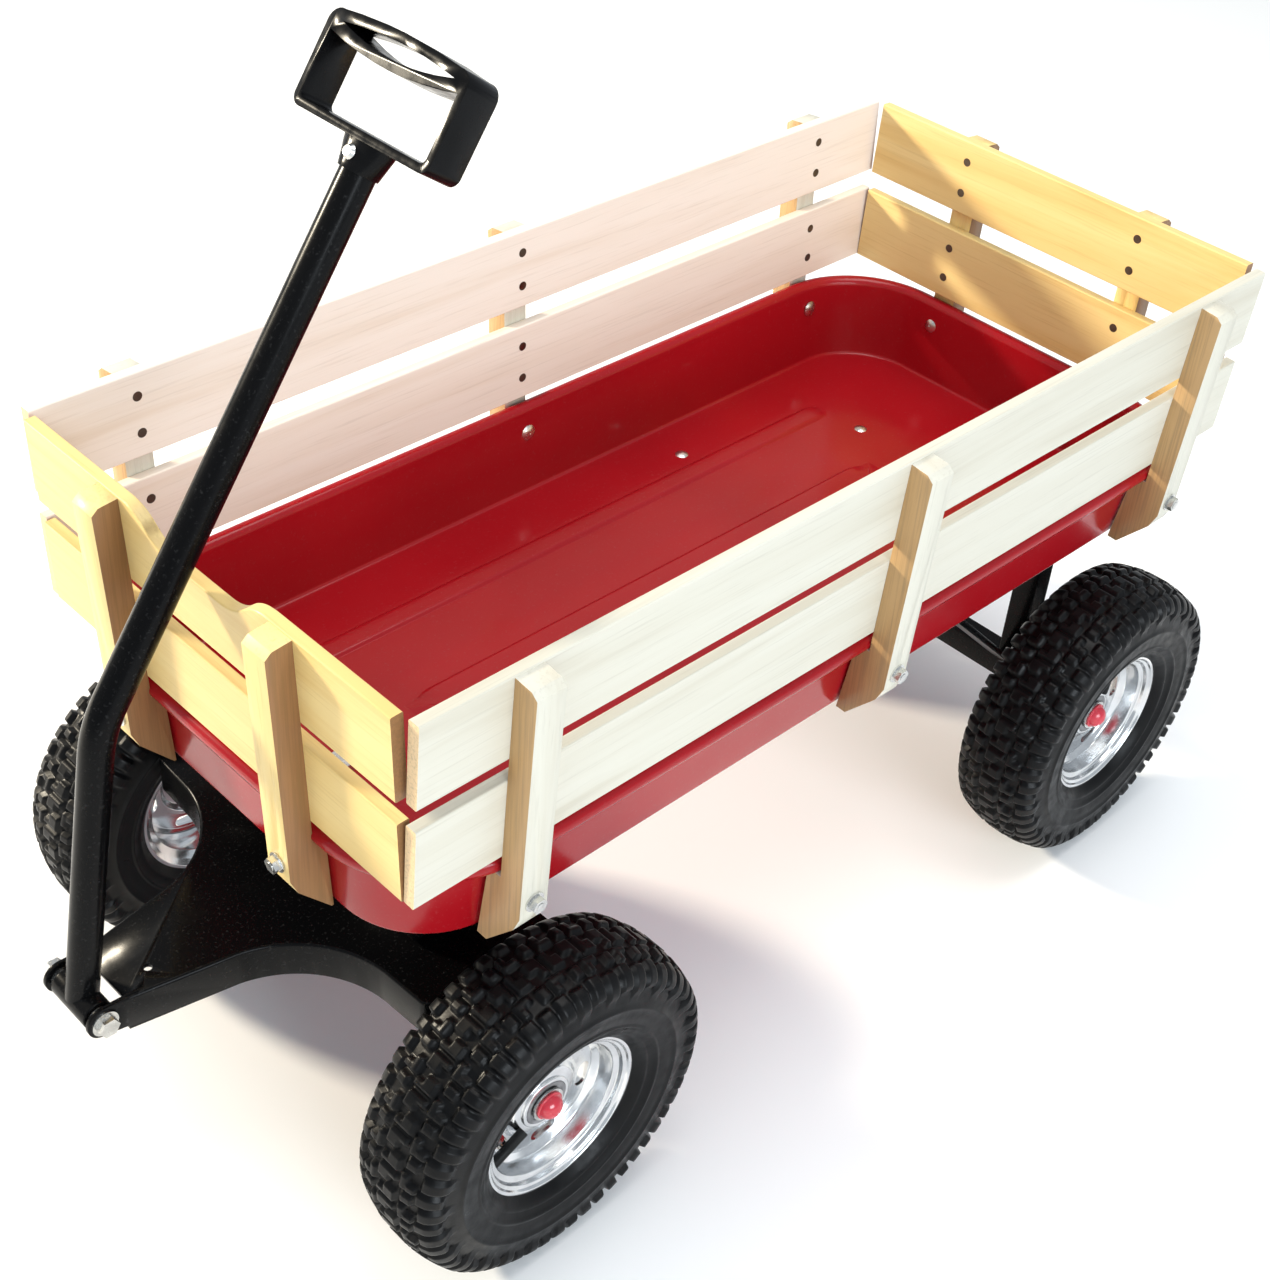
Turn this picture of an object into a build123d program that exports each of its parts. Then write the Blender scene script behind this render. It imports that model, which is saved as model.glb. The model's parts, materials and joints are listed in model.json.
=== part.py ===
"""Kids pull wagon: pressed steel tray with stake sides, pneumatic wheels, steering tongue and pull handle.

Frame: +X towards the handle, +Y to the wagon's left, +Z up. The origin lies on the ground,
under the middle of the whole wagon with its handle leaning back in the scoop of the front board.
"""
import os
from math import cos, radians, sin, sqrt

from build123d import *

os.makedirs("parts", exist_ok=True)

# ---------------------------------------------------------------- driving dimensions (mm)
OVERALL_LENGTH = 991.0
TYRE_DIAMETER = 258.0
TYRE_WIDTH = 80.0
WHEELBASE = 630.0
AXLES_AHEAD = 5.2
TRACK = 404.0

# tray
TRAY_TOP_Z = 360.0
TRAY_BOTTOM_Z = 285.0
SHEET = 2.0
RIM_HALF_LENGTH = 410.0
RIM_HALF_WIDTH = 184.5
RIM_CORNER_R = 80.0
FLOOR_HALF_LENGTH = 405.0
FLOOR_HALF_WIDTH = 174.0
FLOOR_CORNER_R = 68.0
BEAD = 8.0
CREASE_R = 6.0
PAD_HALF_WIDTH = 24.0
PAD_HALF_LENGTH = 250.0
RIB_HEIGHT = 2.5
RIB_WIDTH = 17.0
RIB_Y = 104.0

# stake sides
LEAN = 2.4
BOARD_T = 9.0
BOARD_H = 63.5
BOARD_GAP = 17.0
RACK_BOTTOM_Z = 368.0
RACK_HALF_WIDTH = 195.5
RACK_HALF_LENGTH = 419.25
LONG_BOARD_LENGTH = 836.0
END_BOARD_LENGTH = 372.0
STAKE_W = 22.0
STAKE_T = 19.0
STAKE_BOTTOM_Z = 287.0
STAKE_TOP_GAP = 1.0
STAKE_TOP_DROP = 5.0
SIDE_STAKE_X = 340.0
END_STAKE_Y = 88.0
SCOOP_DEPTH = 19.0
SCOOP_HALF_TOP = 74.0
SCOOP_HALF_FLAT = 26.0

# fasteners
BOLT_R = 3.0
HEX_R = 5.8
NUT_H = 5.0
WASHER_T = 1.2
STAKE_BOLT_Z = 338.0
SCREW_R = 1.9
SCREW_HEAD_R = 3.6
SCREW_LENGTH = 23.0

# running gear
TUBE = 22.0
TUBE_WALL = 3.0
LEG_Y = 127.0
BEAM_HALF = 151.0
FRAME_PLATE = (64.0, 300.0)
BRACE_X = 176.0
BRACE_W = 25.0
BRACE_T = 5.0
REAR_BOLT = (22.0, 61.0)
AXLE_R = 7.95
AXLE_END_Y = 221.0
BORE_CLEARANCE = 0.08
PLATE_T = 3.0
CAP_LENGTH = 9.5
AXLE_WASHER_T = 2.0

# wheel, measured along its axle from the middle of the tyre, outwards positive
HUB_OUTER = 12.0
HUB_INNER = -50.5
HUB_BORE_R = 17.5
HUB_R = 21.0
BEARING_W = 11.0
BARREL_R = 50.0
FLANGE_R = 63.0
FLANGE_A = 26.0
RIM_T = 2.5
DISC_A = 4.0
WINDOW_COUNT = 5
VALVE_A = 14.0
LUG_COUNT = 30
CAP_R = 11.0

# steering
TONGUE_TOP_Z = 219.0
TONGUE_BOTTOM_Z = 190.0
WEAR_RING_T = 3.0
GAP = 0.3
KINGPIN_R = 6.0
BOLSTER_HALF = (60.0, 110.0)
BOLSTER_CHANNEL = (40.0, 30.0)
BOLSTER_BOLT = (50.0, 85.0)
WING_Y = 158.0
WING_FRONT = 59.0
WING_REAR = -55.0

# handle
PIVOT_Z = 209.0
EAR_R = 12.0
EAR_Y = 27.0
PIVOT_BOLT_R = 4.0
HANDLE_R = 11.0
HANDLE_WALL = 1.5
LOWER_LEAN = 10.0
UPPER_LEAN = 34.0
LOWER_LENGTH = 213.0
UPPER_LENGTH = 375.0
BEND_R = 90.0
BUSH_HALF = 20.0
GRIP_HALF_WIDTH = 60.0
GRIP_HEIGHT = 62.0
GRIP_DEPTH = 25.0
GRIP_WALL = 5.0
COLLAR_LENGTH = 17.0
RIVET_R = 2.5
RIVET_DROP = 8.0

# places that follow from them
TYRE_R = TYRE_DIAMETER / 2
AXLE_Z = TYRE_R
WHEEL_Y = TRACK / 2
RACK_HEIGHT = 2 * BOARD_H + BOARD_GAP
STAKE_CORNER = RACK_HEIGHT - STAKE_TOP_GAP - STAKE_TOP_DROP
STAKE_LEAN_OUT = STAKE_CORNER * sin(radians(LEAN)) + STAKE_T * cos(radians(LEAN))
BED_X = -OVERALL_LENGTH / 2 + RACK_HALF_LENGTH + STAKE_LEAN_OUT
REAR_AXLE_X = BED_X + AXLES_AHEAD - WHEELBASE / 2
FRONT_AXLE_X = REAR_AXLE_X + WHEELBASE
PIVOT_X = OVERALL_LENGTH / 2 - EAR_R


# ---------------------------------------------------------------- helpers
def save(part, name):
    """Label a finished piece and write it as its own STEP file."""
    part.label = name
    export_step(part, f"parts/{name}.step")


def cylinder_between(start, end, radius):
    """A plain round bar from one point to another."""
    axis = Vector(*end) - Vector(*start)
    plane = Plane(origin=start, z_dir=axis)
    with BuildPart() as bar:
        with BuildSketch(plane):
            Circle(radius)
        extrude(amount=axis.length)
    return bar.part


def panel_plane(heading):
    """Leaning plane of a side: x runs along the side, y up the lean and z outwards.

    heading is 0 for the front, 90 for the left, 180 for the rear and 270 for the right.
    The plane is the outer face of the boards, and its origin is at the bottom of the rack.
    """
    a = radians(heading)
    lean = radians(LEAN)
    distance = RACK_HALF_LENGTH if heading in (0, 180) else RACK_HALF_WIDTH
    origin = (BED_X + distance * cos(a), distance * sin(a), RACK_BOTTOM_Z)
    outward = (cos(a) * cos(lean), sin(a) * cos(lean), -sin(lean))
    along = (-sin(a), cos(a), 0)
    return Plane(origin=origin, x_dir=along, z_dir=outward)


def flare(at_floor, at_rim, z):
    """A size of the flared tray at a height, from its sizes at the floor and at the rim."""
    return at_floor + (at_rim - at_floor) * (z - TRAY_BOTTOM_Z) / (TRAY_TOP_Z - TRAY_BOTTOM_Z)


def tray_wall_distance(heading, z):
    """Distance from the bed's centre to the outer skin of the tray wall at a height."""
    if heading in (0, 180):
        return flare(FLOOR_HALF_LENGTH, RIM_HALF_LENGTH, z)
    return flare(FLOOR_HALF_WIDTH, RIM_HALF_WIDTH, z)


def seen_from_panel(heading, distance, z):
    """A point, given by its distance from the bed's centre and its height, as (outwards, up the lean)."""
    lean = radians(LEAN)
    out = distance - (RACK_HALF_LENGTH if heading in (0, 180) else RACK_HALF_WIDTH)
    rise = z - RACK_BOTTOM_Z
    return out * cos(lean) - rise * sin(lean), out * sin(lean) + rise * cos(lean)


SIDES = {"front": 0, "left": 90, "rear": 180, "right": 270}
STAKES = {
    "left": {"front": -SIDE_STAKE_X, "middle": 0.0, "rear": SIDE_STAKE_X},
    "right": {"rear": -SIDE_STAKE_X, "middle": 0.0, "front": SIDE_STAKE_X},
    "front": {"right": -END_STAKE_Y, "left": END_STAKE_Y},
    "rear": {"left": -END_STAKE_Y, "right": END_STAKE_Y},
}
BOARD_BOTTOMS = {"lower": 0.0, "upper": BOARD_H + BOARD_GAP}
SCREW_SHARES = (0.28, 0.72)
SCREW_HEIGHTS = [base + BOARD_H * share for base in BOARD_BOTTOMS.values() for share in SCREW_SHARES]
BOLT_LOCAL_Y = (STAKE_BOLT_Z - RACK_BOTTOM_Z) / cos(radians(LEAN))


# ---------------------------------------------------------------- tray
def flared_block(inset, bottom_z, edge_r):
    """Solid with the tray's rounded, flared outline, drawn in from its outer skin."""
    with BuildPart() as block:
        for z in (bottom_z, TRAY_TOP_Z):
            with BuildSketch(Plane.XY.offset(z)):
                half_length = flare(FLOOR_HALF_LENGTH, RIM_HALF_LENGTH, z) - inset
                half_width = flare(FLOOR_HALF_WIDTH, RIM_HALF_WIDTH, z) - inset
                corner = flare(FLOOR_CORNER_R, RIM_CORNER_R, z) - inset
                RectangleRounded(2 * half_length, 2 * half_width, corner)
        loft(ruled=True)
        fillet(block.edges().group_by(Axis.Z)[0], edge_r)
    return block.part


def rim_bead():
    """Rolled edge around the top of the tray, standing out from the wall."""
    with BuildPart() as bead:
        with BuildSketch(Plane.XY.offset(TRAY_TOP_Z - BEAD)):
            size = (2 * (RIM_HALF_LENGTH + BEAD), 2 * (RIM_HALF_WIDTH + BEAD))
            RectangleRounded(*size, RIM_CORNER_R + BEAD)
            size = (2 * (RIM_HALF_LENGTH - SHEET), 2 * (RIM_HALF_WIDTH - SHEET))
            RectangleRounded(*size, RIM_CORNER_R - SHEET, mode=Mode.SUBTRACT)
        extrude(amount=BEAD)
        fillet(bead.edges().group_by(Axis.Z)[-1], 3.6)
    return bead.part


def stake_places():
    """Every stake as (node name, side, panel plane, place along the side)."""
    for side, places in STAKES.items():
        for position, along in places.items():
            yield f"{side}_stake_{position}", side, panel_plane(SIDES[side]), along


def shifted(plane, x, y, z, flip=False):
    """Plane moved to a point given in its own coordinates; flip turns its z round."""
    origin = plane.from_local_coords(Vector(x, y, z))
    direction = -plane.z_dir if flip else plane.z_dir
    return Plane(origin=origin, x_dir=plane.x_dir, z_dir=direction)


FLOOR_TOP_Z = TRAY_BOTTOM_Z + SHEET
FRAME_TOP_Z = TRAY_BOTTOM_Z - PLATE_T
REAR_FLOOR_BOLTS = [(REAR_AXLE_X + REAR_BOLT[0], sign * REAR_BOLT[1]) for sign in (1, -1)]
BRACE_BOLTS = [(REAR_AXLE_X + BRACE_X, sign * (LEG_Y + 3)) for sign in (1, -1)]
BOLSTER_BOLTS = [
    (FRONT_AXLE_X + step * BOLSTER_BOLT[0], sign * BOLSTER_BOLT[1]) for step in (1, -1) for sign in (1, -1)
]
FLOOR_BOLTS = REAR_FLOOR_BOLTS + BRACE_BOLTS + BOLSTER_BOLTS

with BuildPart() as tray:
    with Locations((BED_X, 0, 0)):
        add(flared_block(0, TRAY_BOTTOM_Z, CREASE_R))
        add(rim_bead())
        add(flared_block(SHEET, FLOOR_TOP_Z, CREASE_R - SHEET), mode=Mode.SUBTRACT)
    with BuildSketch(Plane.XY.offset(FLOOR_TOP_Z)):
        with Locations((BED_X, 0)):
            SlotOverall(2 * PAD_HALF_LENGTH, 2 * PAD_HALF_WIDTH)
        with Locations((BED_X, RIB_Y), (BED_X, -RIB_Y)):
            SlotOverall(2 * PAD_HALF_LENGTH + 60, RIB_WIDTH)
    extrude(amount=RIB_HEIGHT)
    with BuildSketch(Plane.XY.offset(FLOOR_TOP_Z)):
        with Locations(*FLOOR_BOLTS):
            Circle(BOLT_R + 0.1)
        with Locations((FRONT_AXLE_X, 0)):
            Circle(KINGPIN_R + 0.1)
    extrude(amount=-2 * SHEET, mode=Mode.SUBTRACT)
    for _, _, plane, along in stake_places():
        with BuildSketch(shifted(plane, along, BOLT_LOCAL_Y, 0)):
            Circle(BOLT_R + 0.1)
        extrude(amount=-40, mode=Mode.SUBTRACT)
save(tray.part, "tray")

# ---------------------------------------------------------------- boards
def board_screw_spots(side, board):
    """Places of one board's screws, as (along, up) in the side's own plane."""
    base = BOARD_BOTTOMS[board]
    return [
        (along, base + BOARD_H * share) for along in STAKES[side].values() for share in SCREW_SHARES
    ]


def scooped_outline(half, low, high):
    """Outline of the front board, whose top edge dips in an ogee scoop for the handle."""
    middle = (SCOOP_HALF_TOP + SCOOP_HALF_FLAT) / 2
    floor = high - SCOOP_DEPTH
    with BuildLine() as outline:
        Polyline((-SCOOP_HALF_TOP, high), (-half, high), (-half, low), (half, low), (half, high))
        Line((half, high), (SCOOP_HALF_TOP, high))
        TangentArc((SCOOP_HALF_TOP, high), (middle, high - SCOOP_DEPTH / 2), tangent=(-1, 0))
        TangentArc((SCOOP_HALF_FLAT, floor), (middle, high - SCOOP_DEPTH / 2), tangent=(1, 0))
        Line((SCOOP_HALF_FLAT, floor), (-SCOOP_HALF_FLAT, floor))
        TangentArc((-SCOOP_HALF_FLAT, floor), (-middle, high - SCOOP_DEPTH / 2), tangent=(-1, 0))
        TangentArc((-SCOOP_HALF_TOP, high), (-middle, high - SCOOP_DEPTH / 2), tangent=(1, 0))
    return outline.line


for side, heading in SIDES.items():
    length = LONG_BOARD_LENGTH if side in ("left", "right") else END_BOARD_LENGTH
    plane = panel_plane(heading)
    for board, base in BOARD_BOTTOMS.items():
        with BuildPart() as plank:
            with BuildSketch(plane):
                if (side, board) == ("front", "upper"):
                    with BuildLine():
                        add(scooped_outline(length / 2, base, base + BOARD_H))
                    make_face()
                else:
                    with Locations((0, base + BOARD_H / 2)):
                        Rectangle(length, BOARD_H)
            extrude(amount=-BOARD_T)
            fillet(plank.edges().filter_by(Axis(plane.origin, plane.x_dir)), 1.2)
            for along, up in board_screw_spots(side, board):
                with Locations(shifted(plane, along, up, -BOARD_T, flip=True)):
                    CounterSinkHole(SCREW_R + 0.05, SCREW_HEAD_R + 0.1, depth=BOARD_T)
        save(plank.part, f"{side}_board_{board}")

# ---------------------------------------------------------------- stakes
def stake_profile(heading):
    """Side view of a stake: x points outwards and y up the lean.

    Above the tray the stake stands against the boards; below the rim a thicker
    foot reaches in to the flared wall of the tray.
    """
    top = RACK_HEIGHT - STAKE_TOP_GAP
    foot_bottom, foot_top = [
        seen_from_panel(heading, tray_wall_distance(heading, z) + 0.15, z)
        for z in (STAKE_BOTTOM_Z, TRAY_TOP_Z - BEAD - 1)
    ]
    return [
        (0, top),
        (STAKE_T - STAKE_TOP_DROP, top - 1),
        (STAKE_T, STAKE_CORNER),
        (STAKE_T, -40),
        (STAKE_T - 5, -53),
        (-9, foot_bottom[1]),
        foot_bottom,
        foot_top,
        (0, foot_top[1]),
    ]


for name, side, plane, along in stake_places():
    spot = shifted(plane, along, 0, 0)
    with BuildPart() as stake:
        with BuildSketch(Plane(origin=spot.origin, x_dir=spot.z_dir, z_dir=-spot.x_dir)):
            with BuildLine():
                Polyline(*stake_profile(SIDES[side]), close=True)
            make_face()
        extrude(amount=STAKE_W / 2, both=True)
        with BuildSketch(shifted(plane, along, BOLT_LOCAL_Y, STAKE_T)):
            Circle(BOLT_R + 0.1)
        extrude(amount=-60, mode=Mode.SUBTRACT)
        for up in SCREW_HEIGHTS:
            with BuildSketch(shifted(plane, along, up, 0)):
                Circle(SCREW_R + 0.05)
            extrude(amount=SCREW_LENGTH - BOARD_T + 0.2, mode=Mode.SUBTRACT)
    save(stake.part, name)

# ---------------------------------------------------------------- wood screws, stake bolts and nuts
with BuildPart() as wood_screw:
    with BuildSketch(Plane.XZ):
        with BuildLine():
            head_depth = SCREW_HEAD_R - SCREW_R
            Polyline(
                (0, 0),
                (SCREW_HEAD_R, 0),
                (SCREW_R, -head_depth),
                (SCREW_R, -SCREW_LENGTH + 4),
                (0, -SCREW_LENGTH),
                close=True,
            )
        make_face()
    revolve(axis=Axis.Z)

with BuildPart() as board_screws:
    for side, heading in SIDES.items():
        for board in BOARD_BOTTOMS:
            for along, up in board_screw_spots(side, board):
                with Locations(shifted(panel_plane(heading), along, up, -BOARD_T - 0.02, flip=True)):
                    add(wood_screw.part)
save(board_screws.part, "board_screws")


def dome_bolt(shank):
    """Bolt with a low domed head, its shank running down from z = 0."""
    with BuildPart() as bolt:
        with BuildSketch(Plane.XZ):
            with BuildLine():
                Line((0, 3.4), (0, -shank))
                Line((0, -shank), (BOLT_R, -shank))
                Line((BOLT_R, -shank), (BOLT_R, 0))
                Line((BOLT_R, 0), (7, 0))
                Line((7, 0), (7, 0.8))
                TangentArc((0, 3.4), (7, 0.8), tangent=(1, 0))
            make_face()
        revolve(axis=Axis.Z)
    return bolt.part


def flange_nut(bore_r):
    """Hexagon nut on a round flange, standing on z = 0."""
    with BuildPart() as nut:
        with BuildSketch():
            Circle(HEX_R + 1.4)
            Circle(bore_r + 0.02, mode=Mode.SUBTRACT)
        extrude(amount=WASHER_T)
        with BuildSketch(Plane.XY.offset(WASHER_T)):
            RegularPolygon(HEX_R, 6)
            Circle(bore_r + 0.02, mode=Mode.SUBTRACT)
        extrude(amount=NUT_H)
    return nut.part


def head_seat(heading, along):
    """Place of a stake bolt's head on the inner skin of the tray, from the panel plane.

    A bolt near a corner sits further in, where the wall has already begun to turn.
    """
    low_z = STAKE_BOLT_Z - 7.5
    corner = flare(FLOOR_CORNER_R, RIM_CORNER_R, low_z)
    straight = tray_wall_distance(0 if heading in (90, 270) else 90, low_z) - corner
    past = max(0.0, abs(along) + 7.5 - straight)
    turned_in = corner - sqrt(corner**2 - past**2)
    return seen_from_panel(heading, tray_wall_distance(heading, low_z) - SHEET - turned_in - 0.1, low_z)[0]


with BuildPart() as stake_bolts:
    for _, side, plane, along in stake_places():
        seat = head_seat(SIDES[side], along)
        with Locations(shifted(plane, along, BOLT_LOCAL_Y, seat, flip=True)):
            add(dome_bolt(STAKE_T - seat + WASHER_T + NUT_H + 0.4))
save(stake_bolts.part, "stake_bolts")

with BuildPart() as stake_nuts:
    for _, side, plane, along in stake_places():
        with Locations(shifted(plane, along, BOLT_LOCAL_Y, STAKE_T)):
            add(flange_nut(BOLT_R))
save(stake_nuts.part, "stake_nuts")


# ---------------------------------------------------------------- floor bolts and nuts
with BuildPart() as floor_bolts:
    with Locations(*[(x, y, FLOOR_TOP_Z) for x, y in FLOOR_BOLTS]):
        add(dome_bolt(15))
save(floor_bolts.part, "floor_bolts")

with BuildPart() as floor_nuts:
    for x, y in FLOOR_BOLTS:
        under = TRAY_BOTTOM_Z - (BRACE_T if (x, y) in BRACE_BOLTS else PLATE_T)
        with Locations(Plane(origin=(x, y, under), z_dir=(0, 0, -1))):
            add(flange_nut(BOLT_R))
save(floor_nuts.part, "floor_nuts")


# ---------------------------------------------------------------- axle frames
def axle_frame(axle_x, plate_top):
    """Square tube beam around the axle, two legs and the plate they carry."""
    with BuildPart() as frame:
        with Locations((axle_x, 0, plate_top - PLATE_T / 2)):
            Box(*FRAME_PLATE, PLATE_T)
        with Locations((axle_x, 0, AXLE_Z)):
            Box(TUBE, 2 * BEAM_HALF, TUBE)
        leg = plate_top - PLATE_T - AXLE_Z
        with Locations(*[(axle_x, sign * LEG_Y, AXLE_Z + leg / 2) for sign in (1, -1)]):
            Box(TUBE, TUBE, leg)
        fillet(frame.edges().filter_by(Axis.Z), 2)
        with Locations((axle_x, 0, AXLE_Z)):
            Box(2 * (TUBE / 2 - TUBE_WALL), 2 * BEAM_HALF, 2 * (TUBE / 2 - TUBE_WALL), mode=Mode.SUBTRACT)
    return frame.part


with BuildPart() as rear_axle_frame:
    add(axle_frame(REAR_AXLE_X, TRAY_BOTTOM_Z))
    for sign in (1, -1):
        brace_plane = Plane(origin=(REAR_AXLE_X, sign * (LEG_Y + 3), 0), z_dir=(0, -1, 0), x_dir=(1, 0, 0))
        with BuildSketch(brace_plane):
            with BuildLine():
                Polyline(
                    (TUBE / 2 - 1, AXLE_Z + 6),
                    (BRACE_X - 15, TRAY_BOTTOM_Z - BRACE_T),
                    (BRACE_X + 15, TRAY_BOTTOM_Z - BRACE_T),
                    (BRACE_X + 15, TRAY_BOTTOM_Z),
                    (BRACE_X - 18, TRAY_BOTTOM_Z),
                    (TUBE / 2 - 1, AXLE_Z + 12.5),
                    close=True,
                )
            make_face()
        extrude(amount=BRACE_W / 2, both=True)
    with BuildSketch(Plane.XY.offset(TRAY_BOTTOM_Z)):
        with Locations(*REAR_FLOOR_BOLTS, *BRACE_BOLTS):
            Circle(BOLT_R + 0.1)
    extrude(amount=-BRACE_T, mode=Mode.SUBTRACT)
save(rear_axle_frame.part, "rear_axle_frame")

with BuildPart() as front_axle_frame:
    add(axle_frame(FRONT_AXLE_X, TONGUE_TOP_Z - PLATE_T))
    with BuildSketch(Plane.XY.offset(TONGUE_TOP_Z - PLATE_T)):
        with Locations((FRONT_AXLE_X, 0)):
            Circle(KINGPIN_R + BORE_CLEARANCE)
    extrude(amount=-PLATE_T, mode=Mode.SUBTRACT)
save(front_axle_frame.part, "front_axle_frame")


def axle_plane(axle_x, sign, along):
    """Plane across the axle on one side, facing away from the wagon.

    along is measured outwards from the middle of the tyre.
    """
    return Plane(origin=(axle_x, sign * (WHEEL_Y + along), AXLE_Z), x_dir=(1, 0, 0), z_dir=(0, sign, 0))


def cap_section():
    """Domed push-on cap, pressed over the end of an axle."""
    with BuildPart() as cap:
        with BuildSketch(Plane.XZ):
            with BuildLine():
                bore = AXLE_END_Y - WHEEL_Y - HUB_OUTER - GAP - AXLE_WASHER_T
                Line((AXLE_R, 0), (CAP_R, 0))
                Line((CAP_R, 0), (CAP_R, 1.5))
                Line((CAP_R, 1.5), (CAP_R - 1, 1.5))
                TangentArc((0, CAP_LENGTH), (CAP_R - 1, 1.5), tangent=(1, 0))
                Line((0, CAP_LENGTH), (0, bore))
                Line((0, bore), (AXLE_R, bore))
                Line((AXLE_R, bore), (AXLE_R, 0))
            make_face()
        revolve(axis=Axis.Z)
    return cap.part


for end, axle_x in (("rear", REAR_AXLE_X), ("front", FRONT_AXLE_X)):
    axle = cylinder_between((axle_x, -AXLE_END_Y, AXLE_Z), (axle_x, AXLE_END_Y, AXLE_Z), AXLE_R)
    save(axle, f"{end}_axle")
    with BuildPart() as washers:
        for sign in (1, -1):
            with BuildSketch(axle_plane(axle_x, sign, HUB_OUTER + GAP)):
                Circle(13)
                Circle(AXLE_R + 0.02, mode=Mode.SUBTRACT)
            extrude(amount=AXLE_WASHER_T)
    save(washers.part, f"{end}_axle_washers")
    with BuildPart() as caps:
        for sign in (1, -1):
            with Locations(axle_plane(axle_x, sign, HUB_OUTER + GAP + AXLE_WASHER_T)):
                add(cap_section())
    save(caps.part, f"{end}_axle_caps")

# ---------------------------------------------------------------- front bolster and kingpin
BOLSTER_BOTTOM_Z = TONGUE_TOP_Z + GAP + WEAR_RING_T

with BuildPart() as front_bolster:
    wide, narrow = BOLSTER_CHANNEL
    with BuildSketch(Plane(origin=(FRONT_AXLE_X, 0, 0), z_dir=(0, -1, 0), x_dir=(1, 0, 0))):
        with BuildLine():
            right_side = [
                (narrow, BOLSTER_BOTTOM_Z),
                (wide, FRAME_TOP_Z),
                (BOLSTER_HALF[0], FRAME_TOP_Z),
                (BOLSTER_HALF[0], TRAY_BOTTOM_Z),
                (wide - PLATE_T, TRAY_BOTTOM_Z),
                (narrow - PLATE_T, BOLSTER_BOTTOM_Z + PLATE_T),
            ]
            left_side = [(-x, z) for x, z in reversed(right_side)]
            Polyline(*right_side, *left_side, close=True)
        make_face()
    extrude(amount=BOLSTER_HALF[1], both=True)
    with BuildSketch(Plane.XY.offset(TRAY_BOTTOM_Z)):
        with Locations(*BOLSTER_BOLTS):
            Circle(BOLT_R + 0.1)
    extrude(amount=-PLATE_T, mode=Mode.SUBTRACT)
    with BuildSketch(Plane.XY.offset(BOLSTER_BOTTOM_Z)):
        with Locations((FRONT_AXLE_X, 0)):
            Circle(KINGPIN_R + 0.1)
    extrude(amount=PLATE_T, mode=Mode.SUBTRACT)
save(front_bolster.part, "front_bolster")

with BuildPart() as wear_ring:
    with BuildSketch(Plane.XY.offset(TONGUE_TOP_Z + GAP)):
        with Locations((FRONT_AXLE_X, 0)):
            Circle(27)
            Circle(KINGPIN_R + 0.1, mode=Mode.SUBTRACT)
    extrude(amount=WEAR_RING_T)
save(wear_ring.part, "wear_ring")

KINGPIN_NUT_TOP_Z = TONGUE_TOP_Z - 2 * PLATE_T - GAP

with BuildPart() as kingpin:
    with BuildSketch(Plane.XY.offset(FLOOR_TOP_Z)):
        with Locations((FRONT_AXLE_X, 0)):
            Circle(13.5)
    extrude(amount=1.6)
    with BuildSketch(Plane.XY.offset(FLOOR_TOP_Z + 1.6)):
        with Locations((FRONT_AXLE_X, 0)):
            RegularPolygon(10.5, 6)
    extrude(amount=6.5)
    fillet(kingpin.edges().filter_by(Axis.Z), 0.5)
    with BuildSketch(Plane.XY.offset(FLOOR_TOP_Z)):
        with Locations((FRONT_AXLE_X, 0)):
            Circle(KINGPIN_R)
    extrude(amount=-(FLOOR_TOP_Z - KINGPIN_NUT_TOP_Z + 13))
save(kingpin.part, "kingpin")

with BuildPart() as kingpin_nut:
    with BuildSketch(Plane.XY.offset(KINGPIN_NUT_TOP_Z)):
        with Locations((FRONT_AXLE_X, 0)):
            Circle(13.5)
    extrude(amount=-1.6)
    with BuildSketch(Plane.XY.offset(KINGPIN_NUT_TOP_Z - 1.6)):
        with Locations((FRONT_AXLE_X, 0)):
            RegularPolygon(10.5, 6)
    extrude(amount=-9)
    with BuildSketch(Plane.XY.offset(KINGPIN_NUT_TOP_Z)):
        with Locations((FRONT_AXLE_X, 0)):
            Circle(KINGPIN_R + 0.02)
    extrude(amount=-20, mode=Mode.SUBTRACT)
save(kingpin_nut.part, "kingpin_nut")

# ---------------------------------------------------------------- tongue plate
NECK = ((123.0, 41.0), (162.0, 34.0), (182.0, 30.0))
PLATE_NOSE = PIVOT_X - 16.5 - FRONT_AXLE_X
EAR_ROOT = PLATE_NOSE - 14.0
NOTCH_X = -27.0
NOTCH_Y = 100.0


def tongue_outline(inset=0.0):
    """Plan of the tongue: two wings over the axle and a neck that narrows to the pivot."""
    with BuildSketch() as plan:
        with BuildLine() as edge:
            Polyline(
                (NOTCH_X, 0),
                (NOTCH_X, NOTCH_Y),
                (WING_REAR, NOTCH_Y + 38),
                (WING_REAR, WING_Y),
                (WING_FRONT - 2, WING_Y),
                (WING_FRONT, WING_Y - 43),
            )
            ThreePointArc((WING_FRONT, WING_Y - 43), (WING_FRONT + 22, 66), NECK[0])
            Polyline(*NECK, (PLATE_NOSE, EAR_Y), (PLATE_NOSE, 0))
            mirror(edge.line, about=Plane.XZ)
        make_face()
        fillet(plan.vertices().filter_by(lambda corner: abs(corner.Y) > WING_Y - 1), 9)
        if inset:
            offset(amount=-inset, kind=Kind.INTERSECTION)
    return plan.sketch


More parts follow.
